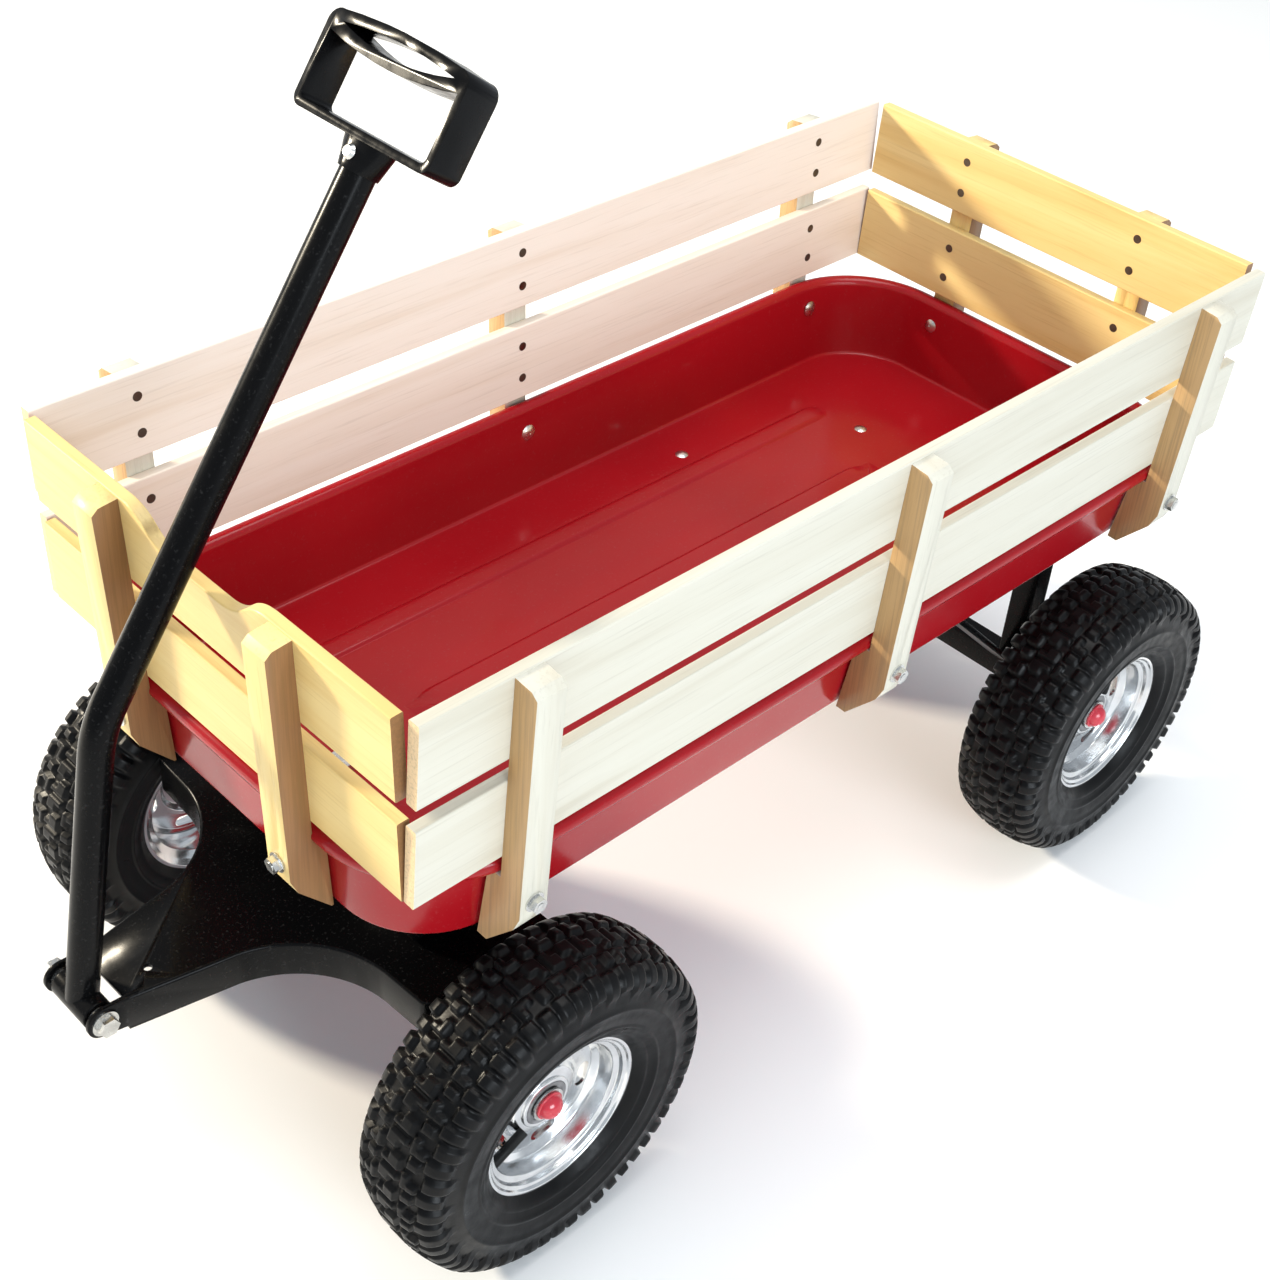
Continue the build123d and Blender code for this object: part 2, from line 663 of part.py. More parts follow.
with BuildPart() as tongue_plate:
    with BuildSketch(Plane.XY.offset(TONGUE_BOTTOM_Z)):
        with Locations((FRONT_AXLE_X, 0)):
            add(tongue_outline())
    extrude(amount=TONGUE_TOP_Z - TONGUE_BOTTOM_Z)
    fillet(tongue_plate.edges().group_by(Axis.Z)[-1].filter_by(lambda e: abs(e.center().Y) > 20), 2.5)
    with BuildSketch(Plane.XY.offset(TONGUE_BOTTOM_Z)):
        with Locations((FRONT_AXLE_X, 0)):
            add(tongue_outline(PLATE_T))
        with Locations((FRONT_AXLE_X + WING_REAR + 14, 0)):
            Rectangle(60, 2 * (WING_Y - PLATE_T))
        with Locations((FRONT_AXLE_X + PLATE_NOSE, 0)):
            Rectangle(20, 2 * (EAR_Y - PLATE_T))
    extrude(amount=TONGUE_TOP_Z - TONGUE_BOTTOM_Z - PLATE_T, mode=Mode.SUBTRACT)
    for outer_y in (EAR_Y, PLATE_T - EAR_Y):
        with BuildSketch(Plane(origin=(0, outer_y, 0), z_dir=(0, -1, 0), x_dir=(1, 0, 0))):
            root = FRONT_AXLE_X + EAR_ROOT
            with BuildLine():
                Polyline(
                    (root, TONGUE_BOTTOM_Z),
                    (root, TONGUE_TOP_Z),
                    (PIVOT_X, PIVOT_Z + EAR_R),
                    (PIVOT_X, PIVOT_Z - EAR_R),
                    close=True,
                )
            make_face()
            with Locations((PIVOT_X, PIVOT_Z)):
                Circle(EAR_R)
        extrude(amount=PLATE_T)
    with Locations(Plane(origin=(PIVOT_X, 0, PIVOT_Z), z_dir=(0, 1, 0))):
        Cylinder(PIVOT_BOLT_R + 0.05, 4 * EAR_Y, mode=Mode.SUBTRACT)
    with Locations((FRONT_AXLE_X, 0, TONGUE_TOP_Z)):
        Cylinder(KINGPIN_R + BORE_CLEARANCE, 4 * PLATE_T, mode=Mode.SUBTRACT)
    with Locations((FRONT_AXLE_X + 173, 13, TONGUE_TOP_Z)):
        Cylinder(3, 4 * PLATE_T, mode=Mode.SUBTRACT)
save(tongue_plate.part, "tongue_plate")


# ---------------------------------------------------------------- handle pivot
def pivot_plane(y, sign):
    """Plane across the handle's pivot, facing +Y or -Y."""
    return Plane(origin=(PIVOT_X, y, PIVOT_Z), x_dir=(1, 0, 0), z_dir=(0, sign, 0))


PIVOT_WASHER_T = 1.6
PIVOT_SEAT_Y = EAR_Y + PIVOT_WASHER_T

with BuildPart() as pivot_bolt:
    with BuildSketch(pivot_plane(PIVOT_SEAT_Y, 1)):
        RegularPolygon(7.4, 6)
    extrude(amount=5.3)
    with BuildSketch(pivot_plane(PIVOT_SEAT_Y, -1)):
        Circle(PIVOT_BOLT_R)
    extrude(amount=2 * PIVOT_SEAT_Y + 9)
save(pivot_bolt.part, "pivot_bolt")

with BuildPart() as pivot_nut:
    with BuildSketch(pivot_plane(-PIVOT_SEAT_Y, -1)):
        RegularPolygon(7.4, 6)
        Circle(PIVOT_BOLT_R + 0.02, mode=Mode.SUBTRACT)
    extrude(amount=6.5)
save(pivot_nut.part, "pivot_nut")

with BuildPart() as pivot_washers:
    for sign in (1, -1):
        with BuildSketch(pivot_plane(sign * EAR_Y, sign)):
            Circle(9.5)
            Circle(PIVOT_BOLT_R + 0.02, mode=Mode.SUBTRACT)
        extrude(amount=PIVOT_WASHER_T)
save(pivot_washers.part, "pivot_washers")

with BuildPart() as pivot_spacers:
    for sign in (1, -1):
        with BuildSketch(pivot_plane(sign * (EAR_Y - PLATE_T), -sign)):
            Circle(8)
            Circle(PIVOT_BOLT_R + 0.02, mode=Mode.SUBTRACT)
        extrude(amount=EAR_Y - PLATE_T - BUSH_HALF - GAP)
save(pivot_spacers.part, "pivot_spacers")

# ---------------------------------------------------------------- handle
LOWER_DIRECTION = Vector(-sin(radians(LOWER_LEAN)), 0, cos(radians(LOWER_LEAN)))
UPPER_DIRECTION = Vector(-sin(radians(UPPER_LEAN)), 0, cos(radians(UPPER_LEAN)))
PIVOT = Vector(PIVOT_X, 0, PIVOT_Z)
BEND = PIVOT + LOWER_DIRECTION * LOWER_LENGTH
GRIP_BASE = BEND + UPPER_DIRECTION * UPPER_LENGTH
GRIP_PLANE = Plane(origin=GRIP_BASE, x_dir=(0, 1, 0), z_dir=Vector(0, 1, 0).cross(UPPER_DIRECTION))
COLLAR_PLANE = Plane(origin=GRIP_BASE, x_dir=(0, 1, 0), z_dir=-UPPER_DIRECTION)

with BuildPart() as handle_tube:
    with BuildLine() as path:
        FilletPolyline(PIVOT, BEND, GRIP_BASE, radius=BEND_R)
    with BuildSketch(Plane(origin=PIVOT, z_dir=LOWER_DIRECTION)):
        Circle(HANDLE_R)
    sweep(path=path.line)
    with BuildSketch(Plane(origin=PIVOT, z_dir=LOWER_DIRECTION)):
        Circle(HANDLE_R - HANDLE_WALL)
    sweep(path=path.line, mode=Mode.SUBTRACT)
    with BuildSketch(pivot_plane(0, 1)):
        Circle(HANDLE_R)
    extrude(amount=BUSH_HALF, both=True)
    with BuildSketch(pivot_plane(0, 1)):
        Circle(PIVOT_BOLT_R + BORE_CLEARANCE)
    extrude(amount=BUSH_HALF, both=True, mode=Mode.SUBTRACT)
    with BuildSketch(shifted(GRIP_PLANE, 0, -RIVET_DROP, 0)):
        Circle(RIVET_R)
    extrude(amount=2 * HANDLE_R, both=True, mode=Mode.SUBTRACT)
save(handle_tube.part, "handle_tube")

BAR_MIDDLE = 22.0
BAR_END = 12.0
STRAP = 6.0

with BuildPart() as grip:
    with BuildSketch(GRIP_PLANE):
        with BuildLine():
            half, top = GRIP_HALF_WIDTH, GRIP_HEIGHT
            Line((-half + 7, 0), (half - 7, 0))
            TangentArc((half - 7, 0), (half, 7), tangent=(1, 0))
            Line((half, 7), (half, top - 12))
            TangentArc((half, top - 12), (half - 10, top - 3), tangent=(0, 1))
            ThreePointArc((half - 10, top - 3), (0, top), (-half + 10, top - 3))
            TangentArc((-half, top - 12), (-half + 10, top - 3), tangent=(0, 1))
            Line((-half, top - 12), (-half, 7))
            TangentArc((-half + 7, 0), (-half, 7), tangent=(-1, 0))
        make_face()
        with BuildLine():
            inner = GRIP_HALF_WIDTH - GRIP_WALL
            low, high = GRIP_WALL, GRIP_HEIGHT - BAR_END - 4
            Line((-inner + 4, low), (inner - 4, low))
            TangentArc((inner - 4, low), (inner, low + 4), tangent=(1, 0))
            Line((inner, low + 4), (inner, high))
            ThreePointArc((inner, high), (0, GRIP_HEIGHT - BAR_MIDDLE), (-inner, high))
            Line((-inner, high), (-inner, low + 4))
            TangentArc((-inner + 4, low), (-inner, low + 4), tangent=(-1, 0))
        make_face(mode=Mode.SUBTRACT)
        with BuildLine():
            slot = GRIP_HALF_WIDTH - 12
            end_v = GRIP_HEIGHT - BAR_END / 2 - 3.5
            ThreePointArc((-slot, end_v), (0, GRIP_HEIGHT - STRAP), (slot, end_v))
            ThreePointArc((-slot, end_v), (0, GRIP_HEIGHT - BAR_MIDDLE + STRAP), (slot, end_v))
        make_face(mode=Mode.SUBTRACT)
    extrude(amount=GRIP_DEPTH / 2, both=True)
    with BuildSketch(COLLAR_PLANE):
        Ellipse(19, GRIP_DEPTH / 2)
    with BuildSketch(COLLAR_PLANE.offset(COLLAR_LENGTH)):
        Circle(HANDLE_R + 1.4)
    loft()
    with BuildSketch(COLLAR_PLANE):
        Circle(HANDLE_R)
    extrude(amount=COLLAR_LENGTH, mode=Mode.SUBTRACT)
    with BuildSketch(shifted(GRIP_PLANE, 0, -RIVET_DROP, 0)):
        Circle(RIVET_R)
    extrude(amount=2 * HANDLE_R, both=True, mode=Mode.SUBTRACT)
save(grip.part, "grip")

with BuildPart() as grip_rivet:
    with BuildSketch(shifted(GRIP_PLANE, 0, -RIVET_DROP, 0)):
        Circle(RIVET_R)
    extrude(amount=HANDLE_R + 1.6, both=True)
    for sign in (1, -1):
        with BuildSketch(shifted(GRIP_PLANE, 0, -RIVET_DROP, sign * (HANDLE_R + 1.6), flip=sign < 0)):
            Circle(4.5)
        extrude(amount=2.2, taper=35)
save(grip_rivet.part, "grip_rivet")


# ---------------------------------------------------------------- wheels
def ring_section(points):
    """Closed profile of (radius, place along the axle) turned around the wheel's own axis."""
    with BuildPart() as ring:
        with BuildSketch(Plane.XZ):
            with BuildLine():
                Polyline(*points, close=True)
            make_face()
        revolve(axis=Axis.Z)
    return ring.part


with BuildPart() as rim:
    flange_in = FLANGE_A - RIM_T
    half_barrel = [
        (BARREL_R - RIM_T, FLANGE_A),
        (FLANGE_R, FLANGE_A),
        (FLANGE_R, flange_in),
        (BARREL_R, flange_in),
    ]
    add(ring_section(half_barrel + [(r, -a) for r, a in reversed(half_barrel)]))
    hub = [(HUB_BORE_R, HUB_INNER), (HUB_R, HUB_INNER), (HUB_R, HUB_OUTER), (HUB_BORE_R, HUB_OUTER)]
    add(ring_section(hub))
    disc = [
        (HUB_R - 1, DISC_A + 3),
        (29, DISC_A + 3),
        (32, DISC_A),
        (BARREL_R - 1, DISC_A),
    ]
    add(ring_section(disc + [(r, a + RIM_T) for r, a in reversed(disc)]))
    with BuildSketch(Plane.XY.offset(DISC_A - 2)):
        with PolarLocations(39.5, WINDOW_COUNT):
            SlotOverall(22, 10, rotation=90)
    extrude(amount=10, mode=Mode.SUBTRACT)
    with BuildSketch(Plane(origin=(0, 0, VALVE_A), z_dir=(1, 0, 0), x_dir=(0, 1, 0))):
        Circle(4.1)
    extrude(amount=BARREL_R + 5, mode=Mode.SUBTRACT)

with BuildPart() as bearings:
    for low in (HUB_OUTER - BEARING_W, HUB_INNER):
        with BuildSketch(Plane.XY.offset(low)):
            Circle(HUB_BORE_R)
            Circle(AXLE_R + BORE_CLEARANCE, mode=Mode.SUBTRACT)
        extrude(amount=BEARING_W)
        for face, way in ((low, 1), (low + BEARING_W, -1)):
            with BuildSketch(Plane.XY.offset(face)):
                Circle(14.5)
                Circle(11, mode=Mode.SUBTRACT)
            extrude(amount=way * 0.6, mode=Mode.SUBTRACT)

TYRE_HALF = TYRE_WIDTH / 2
CROWN_HALF = 13.0
LUG_DEPTH = 4.5
CAVITY_R = 87.0
CAVITY_HALF = (32.0, 33.5)

with BuildPart() as tyre:
    with BuildSketch(Plane.XZ):
        with BuildLine() as edge:
            bead_a = FLANGE_A - RIM_T
            Polyline((BARREL_R, 0), (BARREL_R, bead_a), (FLANGE_R, bead_a), (FLANGE_R + 1.5, FLANGE_A + 1))
            Spline(
                (FLANGE_R + 1.5, FLANGE_A + 1),
                (76, TYRE_HALF - 5),
                (94, TYRE_HALF),
                (112, TYRE_HALF - 3),
                (TYRE_R - 9, TYRE_HALF - 7),
            )
            Polyline(
                (TYRE_R - 9, TYRE_HALF - 7),
                (TYRE_R - 3.5, TYRE_HALF - 14),
                (TYRE_R - 1.5, CROWN_HALF + 1),
                (TYRE_R, CROWN_HALF - 1),
                (TYRE_R, 0),
            )
            mirror(edge.line, about=Plane.XZ)
        make_face()
        with Locations((CAVITY_R, 0)):
            Ellipse(*CAVITY_HALF, mode=Mode.SUBTRACT)
        with Locations((BARREL_R + 3, 0)):
            Rectangle(20, 37, mode=Mode.SUBTRACT)
    revolve(axis=Axis.Z)
    for side in (1, -1):
        with BuildSketch(Plane.XY.offset(side * (CROWN_HALF + 2))):
            with PolarLocations(TYRE_R, LUG_COUNT, start_angle=90 * side / LUG_COUNT):
                Rectangle(2 * LUG_DEPTH, 9)
        extrude(amount=side * TYRE_HALF, mode=Mode.SUBTRACT)

with BuildPart() as inner_tube:
    wall = 1.5
    with BuildSketch(Plane.XZ):
        with Locations((CAVITY_R, 0)):
            Ellipse(CAVITY_HALF[0] - 0.4, CAVITY_HALF[1] - 0.4)
    revolve(axis=Axis.Z)
    foot = CAVITY_R - CAVITY_HALF[0] + 3
    with BuildSketch(Plane(origin=(24, 0, VALVE_A), z_dir=(1, 0, 0), x_dir=(0, 1, 0))):
        Circle(3.8)
    extrude(amount=foot + 12 - 24)
    with BuildSketch(Plane.XZ):
        with Locations((CAVITY_R, 0)):
            Ellipse(CAVITY_HALF[0] - 0.4 - wall, CAVITY_HALF[1] - 0.4 - wall)
    revolve(axis=Axis.Z, mode=Mode.SUBTRACT)
    with BuildSketch(Plane(origin=(24, 0, VALVE_A), z_dir=(1, 0, 0), x_dir=(0, 1, 0))):
        Circle(1.5)
    extrude(amount=foot + 12 - 24, mode=Mode.SUBTRACT)

WHEEL_PIECES = {
    "tyre": tyre.part,
    "rim": rim.part,
    "inner_tube": inner_tube.part,
    "bearings": bearings.part,
}
WHEEL_SPINS = {"front_left": 25, "front_right": 140, "rear_left": 260, "rear_right": 70}

for corner, spin in WHEEL_SPINS.items():
    axle_x = FRONT_AXLE_X if corner.startswith("front") else REAR_AXLE_X
    wheel_plane = axle_plane(axle_x, 1 if corner.endswith("left") else -1, 0)
    for piece, shape in WHEEL_PIECES.items():
        with BuildPart() as placed:
            with Locations(wheel_plane.location * Rotation(0, 0, spin)):
                add(shape)
        save(placed.part, f"{corner}_{piece}")
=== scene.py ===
"""Looks of the kids pull wagon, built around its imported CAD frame.

Everything is in metres in the frame's own axes: +X towards the handle, +Y to the wagon's left, +Z up.
"""
import json
from math import cos, hypot, pi, radians, sin, tau

import bmesh
import bpy
import numpy as np
from mathutils import Matrix, Quaternion, Vector


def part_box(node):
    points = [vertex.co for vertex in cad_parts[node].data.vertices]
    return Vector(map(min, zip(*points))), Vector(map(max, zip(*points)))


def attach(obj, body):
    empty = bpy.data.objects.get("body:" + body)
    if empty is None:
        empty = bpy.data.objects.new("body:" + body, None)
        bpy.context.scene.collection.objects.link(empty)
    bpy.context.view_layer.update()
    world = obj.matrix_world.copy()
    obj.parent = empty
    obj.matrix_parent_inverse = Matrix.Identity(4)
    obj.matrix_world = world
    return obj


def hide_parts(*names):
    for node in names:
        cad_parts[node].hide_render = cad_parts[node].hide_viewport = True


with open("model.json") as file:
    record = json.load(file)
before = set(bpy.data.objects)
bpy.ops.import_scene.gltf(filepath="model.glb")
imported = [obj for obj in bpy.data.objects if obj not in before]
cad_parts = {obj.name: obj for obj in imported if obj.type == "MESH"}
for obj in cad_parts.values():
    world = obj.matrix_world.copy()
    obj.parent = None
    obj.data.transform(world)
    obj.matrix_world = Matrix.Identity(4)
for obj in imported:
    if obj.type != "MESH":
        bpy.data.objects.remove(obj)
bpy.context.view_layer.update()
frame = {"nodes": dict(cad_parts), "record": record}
scene = bpy.context.scene
record = frame["record"]
MM = 0.001

# ---------------------------------------------------------------- places read from the frame
JOINTS = {joint["name"]: joint for joint in record["behaviour"]["joints"]}
BED_X = record["mounts"][0]["pos_m"][0]
FRONT_AXLE_X = JOINTS["steer"]["pos_m"][0]
PIVOT = Vector(JOINTS["handle_swing"]["pos_m"])
TRAY_LOW, TRAY_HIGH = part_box("tray")


# ---------------------------------------------------------------- camera, floor and light
CAMERA_PLACE = (FRONT_AXLE_X + 0.5796, 0.80384, 1.19003)
CAMERA_FORWARD = (-0.57076, -0.53567, -0.62233)
CAMERA_ROLL = radians(4.79)
CAMERA_LENS_MM = 54.43
FLOOR_SIZE = 30
# each light: place, target, size, power in watts, colour
LIGHTS = {
    "key": ((1.65, -2.75, 1.55), (0, 0, 0.35), (0.35, 0.35), 175, (1.0, 0.89, 0.70)),
    "fill": ((1.0, 5.0, 2.3), (0, 0, 0.3), (3.0, 2.0), 190, (0.86, 0.94, 1.0)),
    "top": ((-0.3, 0.2, 3.0), (0, 0, 0.3), (1.6, 1.6), 40, (1.0, 0.98, 0.95)),
}
SKY_COLOUR, SKY_STRENGTH = (0.86, 0.93, 1.0, 1), 0.62


def make_camera():
    """The photograph's point of view."""
    data = bpy.data.cameras.new("camera")
    data.sensor_fit = "VERTICAL"
    data.sensor_height = 36.0
    data.lens = CAMERA_LENS_MM
    data.clip_end = 50.0
    camera = bpy.data.objects.new("camera", data)
    scene.collection.objects.link(camera)
    camera.location = CAMERA_PLACE
    camera.rotation_mode = "QUATERNION"
    roll = Quaternion((0, 0, 1), CAMERA_ROLL)
    camera.rotation_quaternion = Vector(CAMERA_FORWARD).to_track_quat("-Z", "Y") @ roll
    scene.camera = camera


def area_light(name, place, target, size, power, colour):
    data = bpy.data.lights.new(name, "AREA")
    data.shape = "RECTANGLE"
    data.size, data.size_y = size
    data.energy = power
    data.color = colour
    light = bpy.data.objects.new(name, data)
    scene.collection.objects.link(light)
    light.location = place
    light.rotation_euler = (Vector(target) - Vector(place)).to_track_quat("-Z", "Y").to_euler()


def make_stage():
    """Plain pale floor and soft studio light."""
    scene.view_settings.view_transform = "Standard"
    bpy.ops.mesh.primitive_plane_add(size=FLOOR_SIZE)
    floor = bpy.context.object
    floor.name = "floor"
    material = bpy.data.materials.new("floor_white")
    material.use_nodes = True
    shader = material.node_tree.nodes["Principled BSDF"]
    shader.inputs["Base Color"].default_value = (0.94, 0.94, 0.94, 1)
    shader.inputs["Roughness"].default_value = 0.9
    shader.inputs["Specular IOR Level"].default_value = 0.1
    floor.data.materials.append(material)

    world = bpy.data.worlds.new("studio")
    scene.world = world
    world.use_nodes = True
    background = world.node_tree.nodes["Background"]
    background.inputs["Color"].default_value = SKY_COLOUR
    background.inputs["Strength"].default_value = SKY_STRENGTH
    for name, settings in LIGHTS.items():
        area_light(name, *settings)


# ---------------------------------------------------------------- materials
class Paint:
    """A node material under construction around one Principled shader."""

    def __init__(self, name, roughness, metallic=0.0, coat=0.0, coat_roughness=0.05, specular=0.5):
        self.material = bpy.data.materials.new(name)
        self.material.use_nodes = True
        self.tree = self.material.node_tree
        self.shader = self.tree.nodes["Principled BSDF"]
        self.shader.inputs["Roughness"].default_value = roughness
        self.shader.inputs["Metallic"].default_value = metallic
        self.shader.inputs["Coat Weight"].default_value = coat
        self.shader.inputs["Coat Roughness"].default_value = coat_roughness
        self.shader.inputs["Specular IOR Level"].default_value = specular
        self.place = self.tree.nodes.new("ShaderNodeTexCoord").outputs["Object"]

    def stretched(self, scale):
        """Object coordinates multiplied along each axis."""
        mapping = self.tree.nodes.new("ShaderNodeMapping")
        mapping.inputs["Scale"].default_value = scale
        self.tree.links.new(self.place, mapping.inputs["Vector"])
        return mapping.outputs["Vector"]

    def noise(self, scale, detail=4.0, roughness=0.55, distortion=0.0, place=None):
        node = self.tree.nodes.new("ShaderNodeTexNoise")
        node.inputs["Scale"].default_value = scale
        node.inputs["Detail"].default_value = detail
        node.inputs["Roughness"].default_value = roughness
        node.inputs["Distortion"].default_value = distortion
        self.tree.links.new(place or self.place, node.inputs["Vector"])
        return node.outputs["Fac"]

    def ramp(self, value, *stops):
        """Colours or greys spread over a value: each stop is (position, colour)."""
        node = self.tree.nodes.new("ShaderNodeValToRGB")
        elements = node.color_ramp.elements
        while len(elements) < len(stops):
            elements.new(0.5)
        for element, (position, colour) in zip(elements, stops):
            element.position = position
            element.color = (*colour, 1)
        self.tree.links.new(value, node.inputs["Fac"])
        return node.outputs["Color"]

    def mix(self, share, first, second):
        """Mixes two colours; each is a socket or a colour."""
        node = self.tree.nodes.new("ShaderNodeMix")
        node.data_type = "RGBA"
        for index, value in ((0, share), (6, first), (7, second)):
            socket = node.inputs[index]
            if isinstance(value, bpy.types.NodeSocket):
                self.tree.links.new(value, socket)
            elif isinstance(value, float):
                socket.default_value = value
            else:
                socket.default_value = (*value, 1)
        return node.outputs[2]

    def level(self, value, low, high, from_low=0.0, from_high=1.0):
        """A value mapped to another range."""
        node = self.tree.nodes.new("ShaderNodeMapRange")
        node.inputs["From Min"].default_value = from_low
        node.inputs["From Max"].default_value = from_high
        node.inputs["To Min"].default_value = low
        node.inputs["To Max"].default_value = high
        self.tree.links.new(value, node.inputs["Value"])
        return node.outputs["Result"]

    def facing(self, axis):
        """1 where the surface faces along an axis of the object, either way, and 0 where it runs along it."""
        parts = self.tree.nodes.new("ShaderNodeSeparateXYZ")
        coordinates = self.tree.nodes.new("ShaderNodeTexCoord")
        self.tree.links.new(coordinates.outputs["Normal"], parts.inputs["Vector"])
        size = self.tree.nodes.new("ShaderNodeMath")
        size.operation = "ABSOLUTE"
        self.tree.links.new(parts.outputs[axis], size.inputs[0])
        return self.level(size.outputs["Value"], 0.0, 1.0, 0.55, 0.80)

    def edges(self):
        """1 on outside edges and 0 elsewhere."""
        node = self.tree.nodes.new("ShaderNodeNewGeometry")
        return self.level(node.outputs["Pointiness"], 0.0, 1.0, 0.53, 0.60)

    def colour(self, socket):
        self.tree.links.new(socket, self.shader.inputs["Base Color"])

    def gloss(self, socket):
        self.tree.links.new(socket, self.shader.inputs["Roughness"])

    def bump(self, *heights):
        """Stacks bumps: each is (height socket, strength, distance in metres)."""
        normal = None
        for height, strength, distance in heights:
            node = self.tree.nodes.new("ShaderNodeBump")
            node.inputs["Strength"].default_value = strength
            node.inputs["Distance"].default_value = distance
            self.tree.links.new(height, node.inputs["Height"])
            if normal is not None:
                self.tree.links.new(normal, node.inputs["Normal"])
            normal = node.outputs["Normal"]
        self.tree.links.new(normal, self.shader.inputs["Normal"])


def enamel(name, deep, bright, roughness, specular, coat):
    """Gloss paint on pressed or welded steel, with faint orange peel and dust."""
    paint = Paint(name, roughness, coat=coat, coat_roughness=0.06, specular=specular)
    patches = paint.noise(3.5, 3.0)
    colour = paint.ramp(patches, (0.35, deep), (0.7, bright))
    specks = paint.noise(420.0, 2.0)
    dusty = tuple(0.6 * c + 0.06 for c in bright)
    colour = paint.mix(paint.level(specks, 0.0, 0.30, 0.60, 0.80), colour, dusty)
    paint.colour(colour)
    smears = paint.noise(24.0, 5.0, 0.65)
    paint.gloss(paint.level(smears, roughness * 0.75, roughness * 1.5, 0.3, 0.7))
    paint.bump((paint.noise(260.0, 2.0), 0.05, 0.0004), (paint.noise(9.0, 2.0), 0.08, 0.002))
    return paint.material


def wood(name, along, pale, mid, dark, edge, side, gloss):
    """Planed softwood under a clear finish, its grain running along one axis.

    The faces that look along the side axis take the edge colour as painted shading: painted shade on the
    stakes' sides, the end boards' end grain darkened with painted shade, and the long boards' end grain in a
    painted lit colour.
    """
    paint = Paint(name, gloss, coat=0.15, coat_roughness=0.25, specular=0.3)
    squeeze = [1.0, 1.0, 1.0]
    squeeze["XYZ".index(along)] = 0.06
    rings = paint.noise(38.0, 4.0, 0.55, 0.8, paint.stretched(squeeze))
    colour = paint.ramp(rings, (0.28, dark), (0.44, mid), (0.60, pale))
    squeeze["XYZ".index(along)] = 0.025
    fine = paint.noise(520.0, 3.0, 0.6, 0.0, paint.stretched(squeeze))
    colour = paint.mix(paint.level(fine, 0.0, 0.25, 0.50, 0.74), colour, dark)
    patches = paint.noise(5.0, 3.0, 0.5)
    colour = paint.mix(paint.level(patches, 0.0, 0.30, 0.42, 0.68), colour, mid)
    # painted shading of the side faces (painted shade, and a painted lit colour on the long boards' ends),
    # streaked with the fine grain
    side_shading = paint.mix(paint.level(fine, 0.0, 0.5, 0.45, 0.65), edge, tuple(0.6 * c for c in edge))
    colour = paint.mix(paint.facing(side), colour, side_shading)
    pores = paint.level(fine, 0.0, 0.14, 0.56, 0.70)
    paint.colour(paint.mix(pores, colour, tuple(c * 0.5 for c in dark)))
    paint.gloss(paint.level(rings, gloss * 0.85, gloss * 1.25, 0.3, 0.7))
    paint.bump((fine, 0.14, 0.0003), (rings, 0.08, 0.0005))
    return paint.material


def plated(name, colour, roughness, cloud=0.12):
    """Zinc or chrome plate with a cloudy bloom and fine scratches."""
    paint = Paint(name, roughness, metallic=1.0)
    bloom = paint.noise(60.0, 4.0, 0.6)
    dull = tuple(c * (1 - 3 * cloud) for c in colour)
    paint.colour(paint.ramp(bloom, (0.35, dull), (0.65, colour)))
    scratches = paint.noise(900.0, 2.0, 0.5, 0.0, paint.stretched((0.08, 1.0, 0.4)))
    smears = paint.noise(35.0, 5.0, 0.7)
    gloss = paint.level(smears, roughness * 0.6, roughness * 1.7, 0.3, 0.7)
    paint.gloss(gloss)
    paint.bump((scratches, 0.04, 0.0002))
    return paint.material


def rubber(name, colour, worn, roughness):
    """Moulded rubber, greyer and drier where it stands out."""
    paint = Paint(name, roughness, specular=0.15)
    dust = paint.noise(38.0, 6.0, 0.7)
    base = paint.mix(paint.level(dust, 0.0, 0.5, 0.45, 0.75), colour, worn)
    paint.colour(paint.mix(paint.edges(), base, tuple(c * 1.6 for c in worn)))
    paint.gloss(paint.level(paint.noise(90.0, 4.0), roughness * 0.7, roughness * 1.35, 0.3, 0.7))
    paint.bump((paint.noise(700.0, 3.0), 0.18, 0.0003), (paint.noise(60.0, 3.0), 0.08, 0.0008))
    return paint.material


def plastic(name, colour, shade, roughness, coat, specular):
    """Moulded plastic with a fine texture and faint flow marks."""
    paint = Paint(name, roughness, coat=coat, coat_roughness=0.08, specular=specular)
    flow = paint.noise(28.0, 4.0, 0.6)
    paint.colour(paint.ramp(flow, (0.35, shade), (0.7, colour)))
    paint.gloss(paint.level(paint.noise(120.0, 3.0), roughness * 0.7, roughness * 1.4, 0.3, 0.7))
    paint.bump((paint.noise(800.0, 2.0), 0.06, 0.0002))
    return paint.material


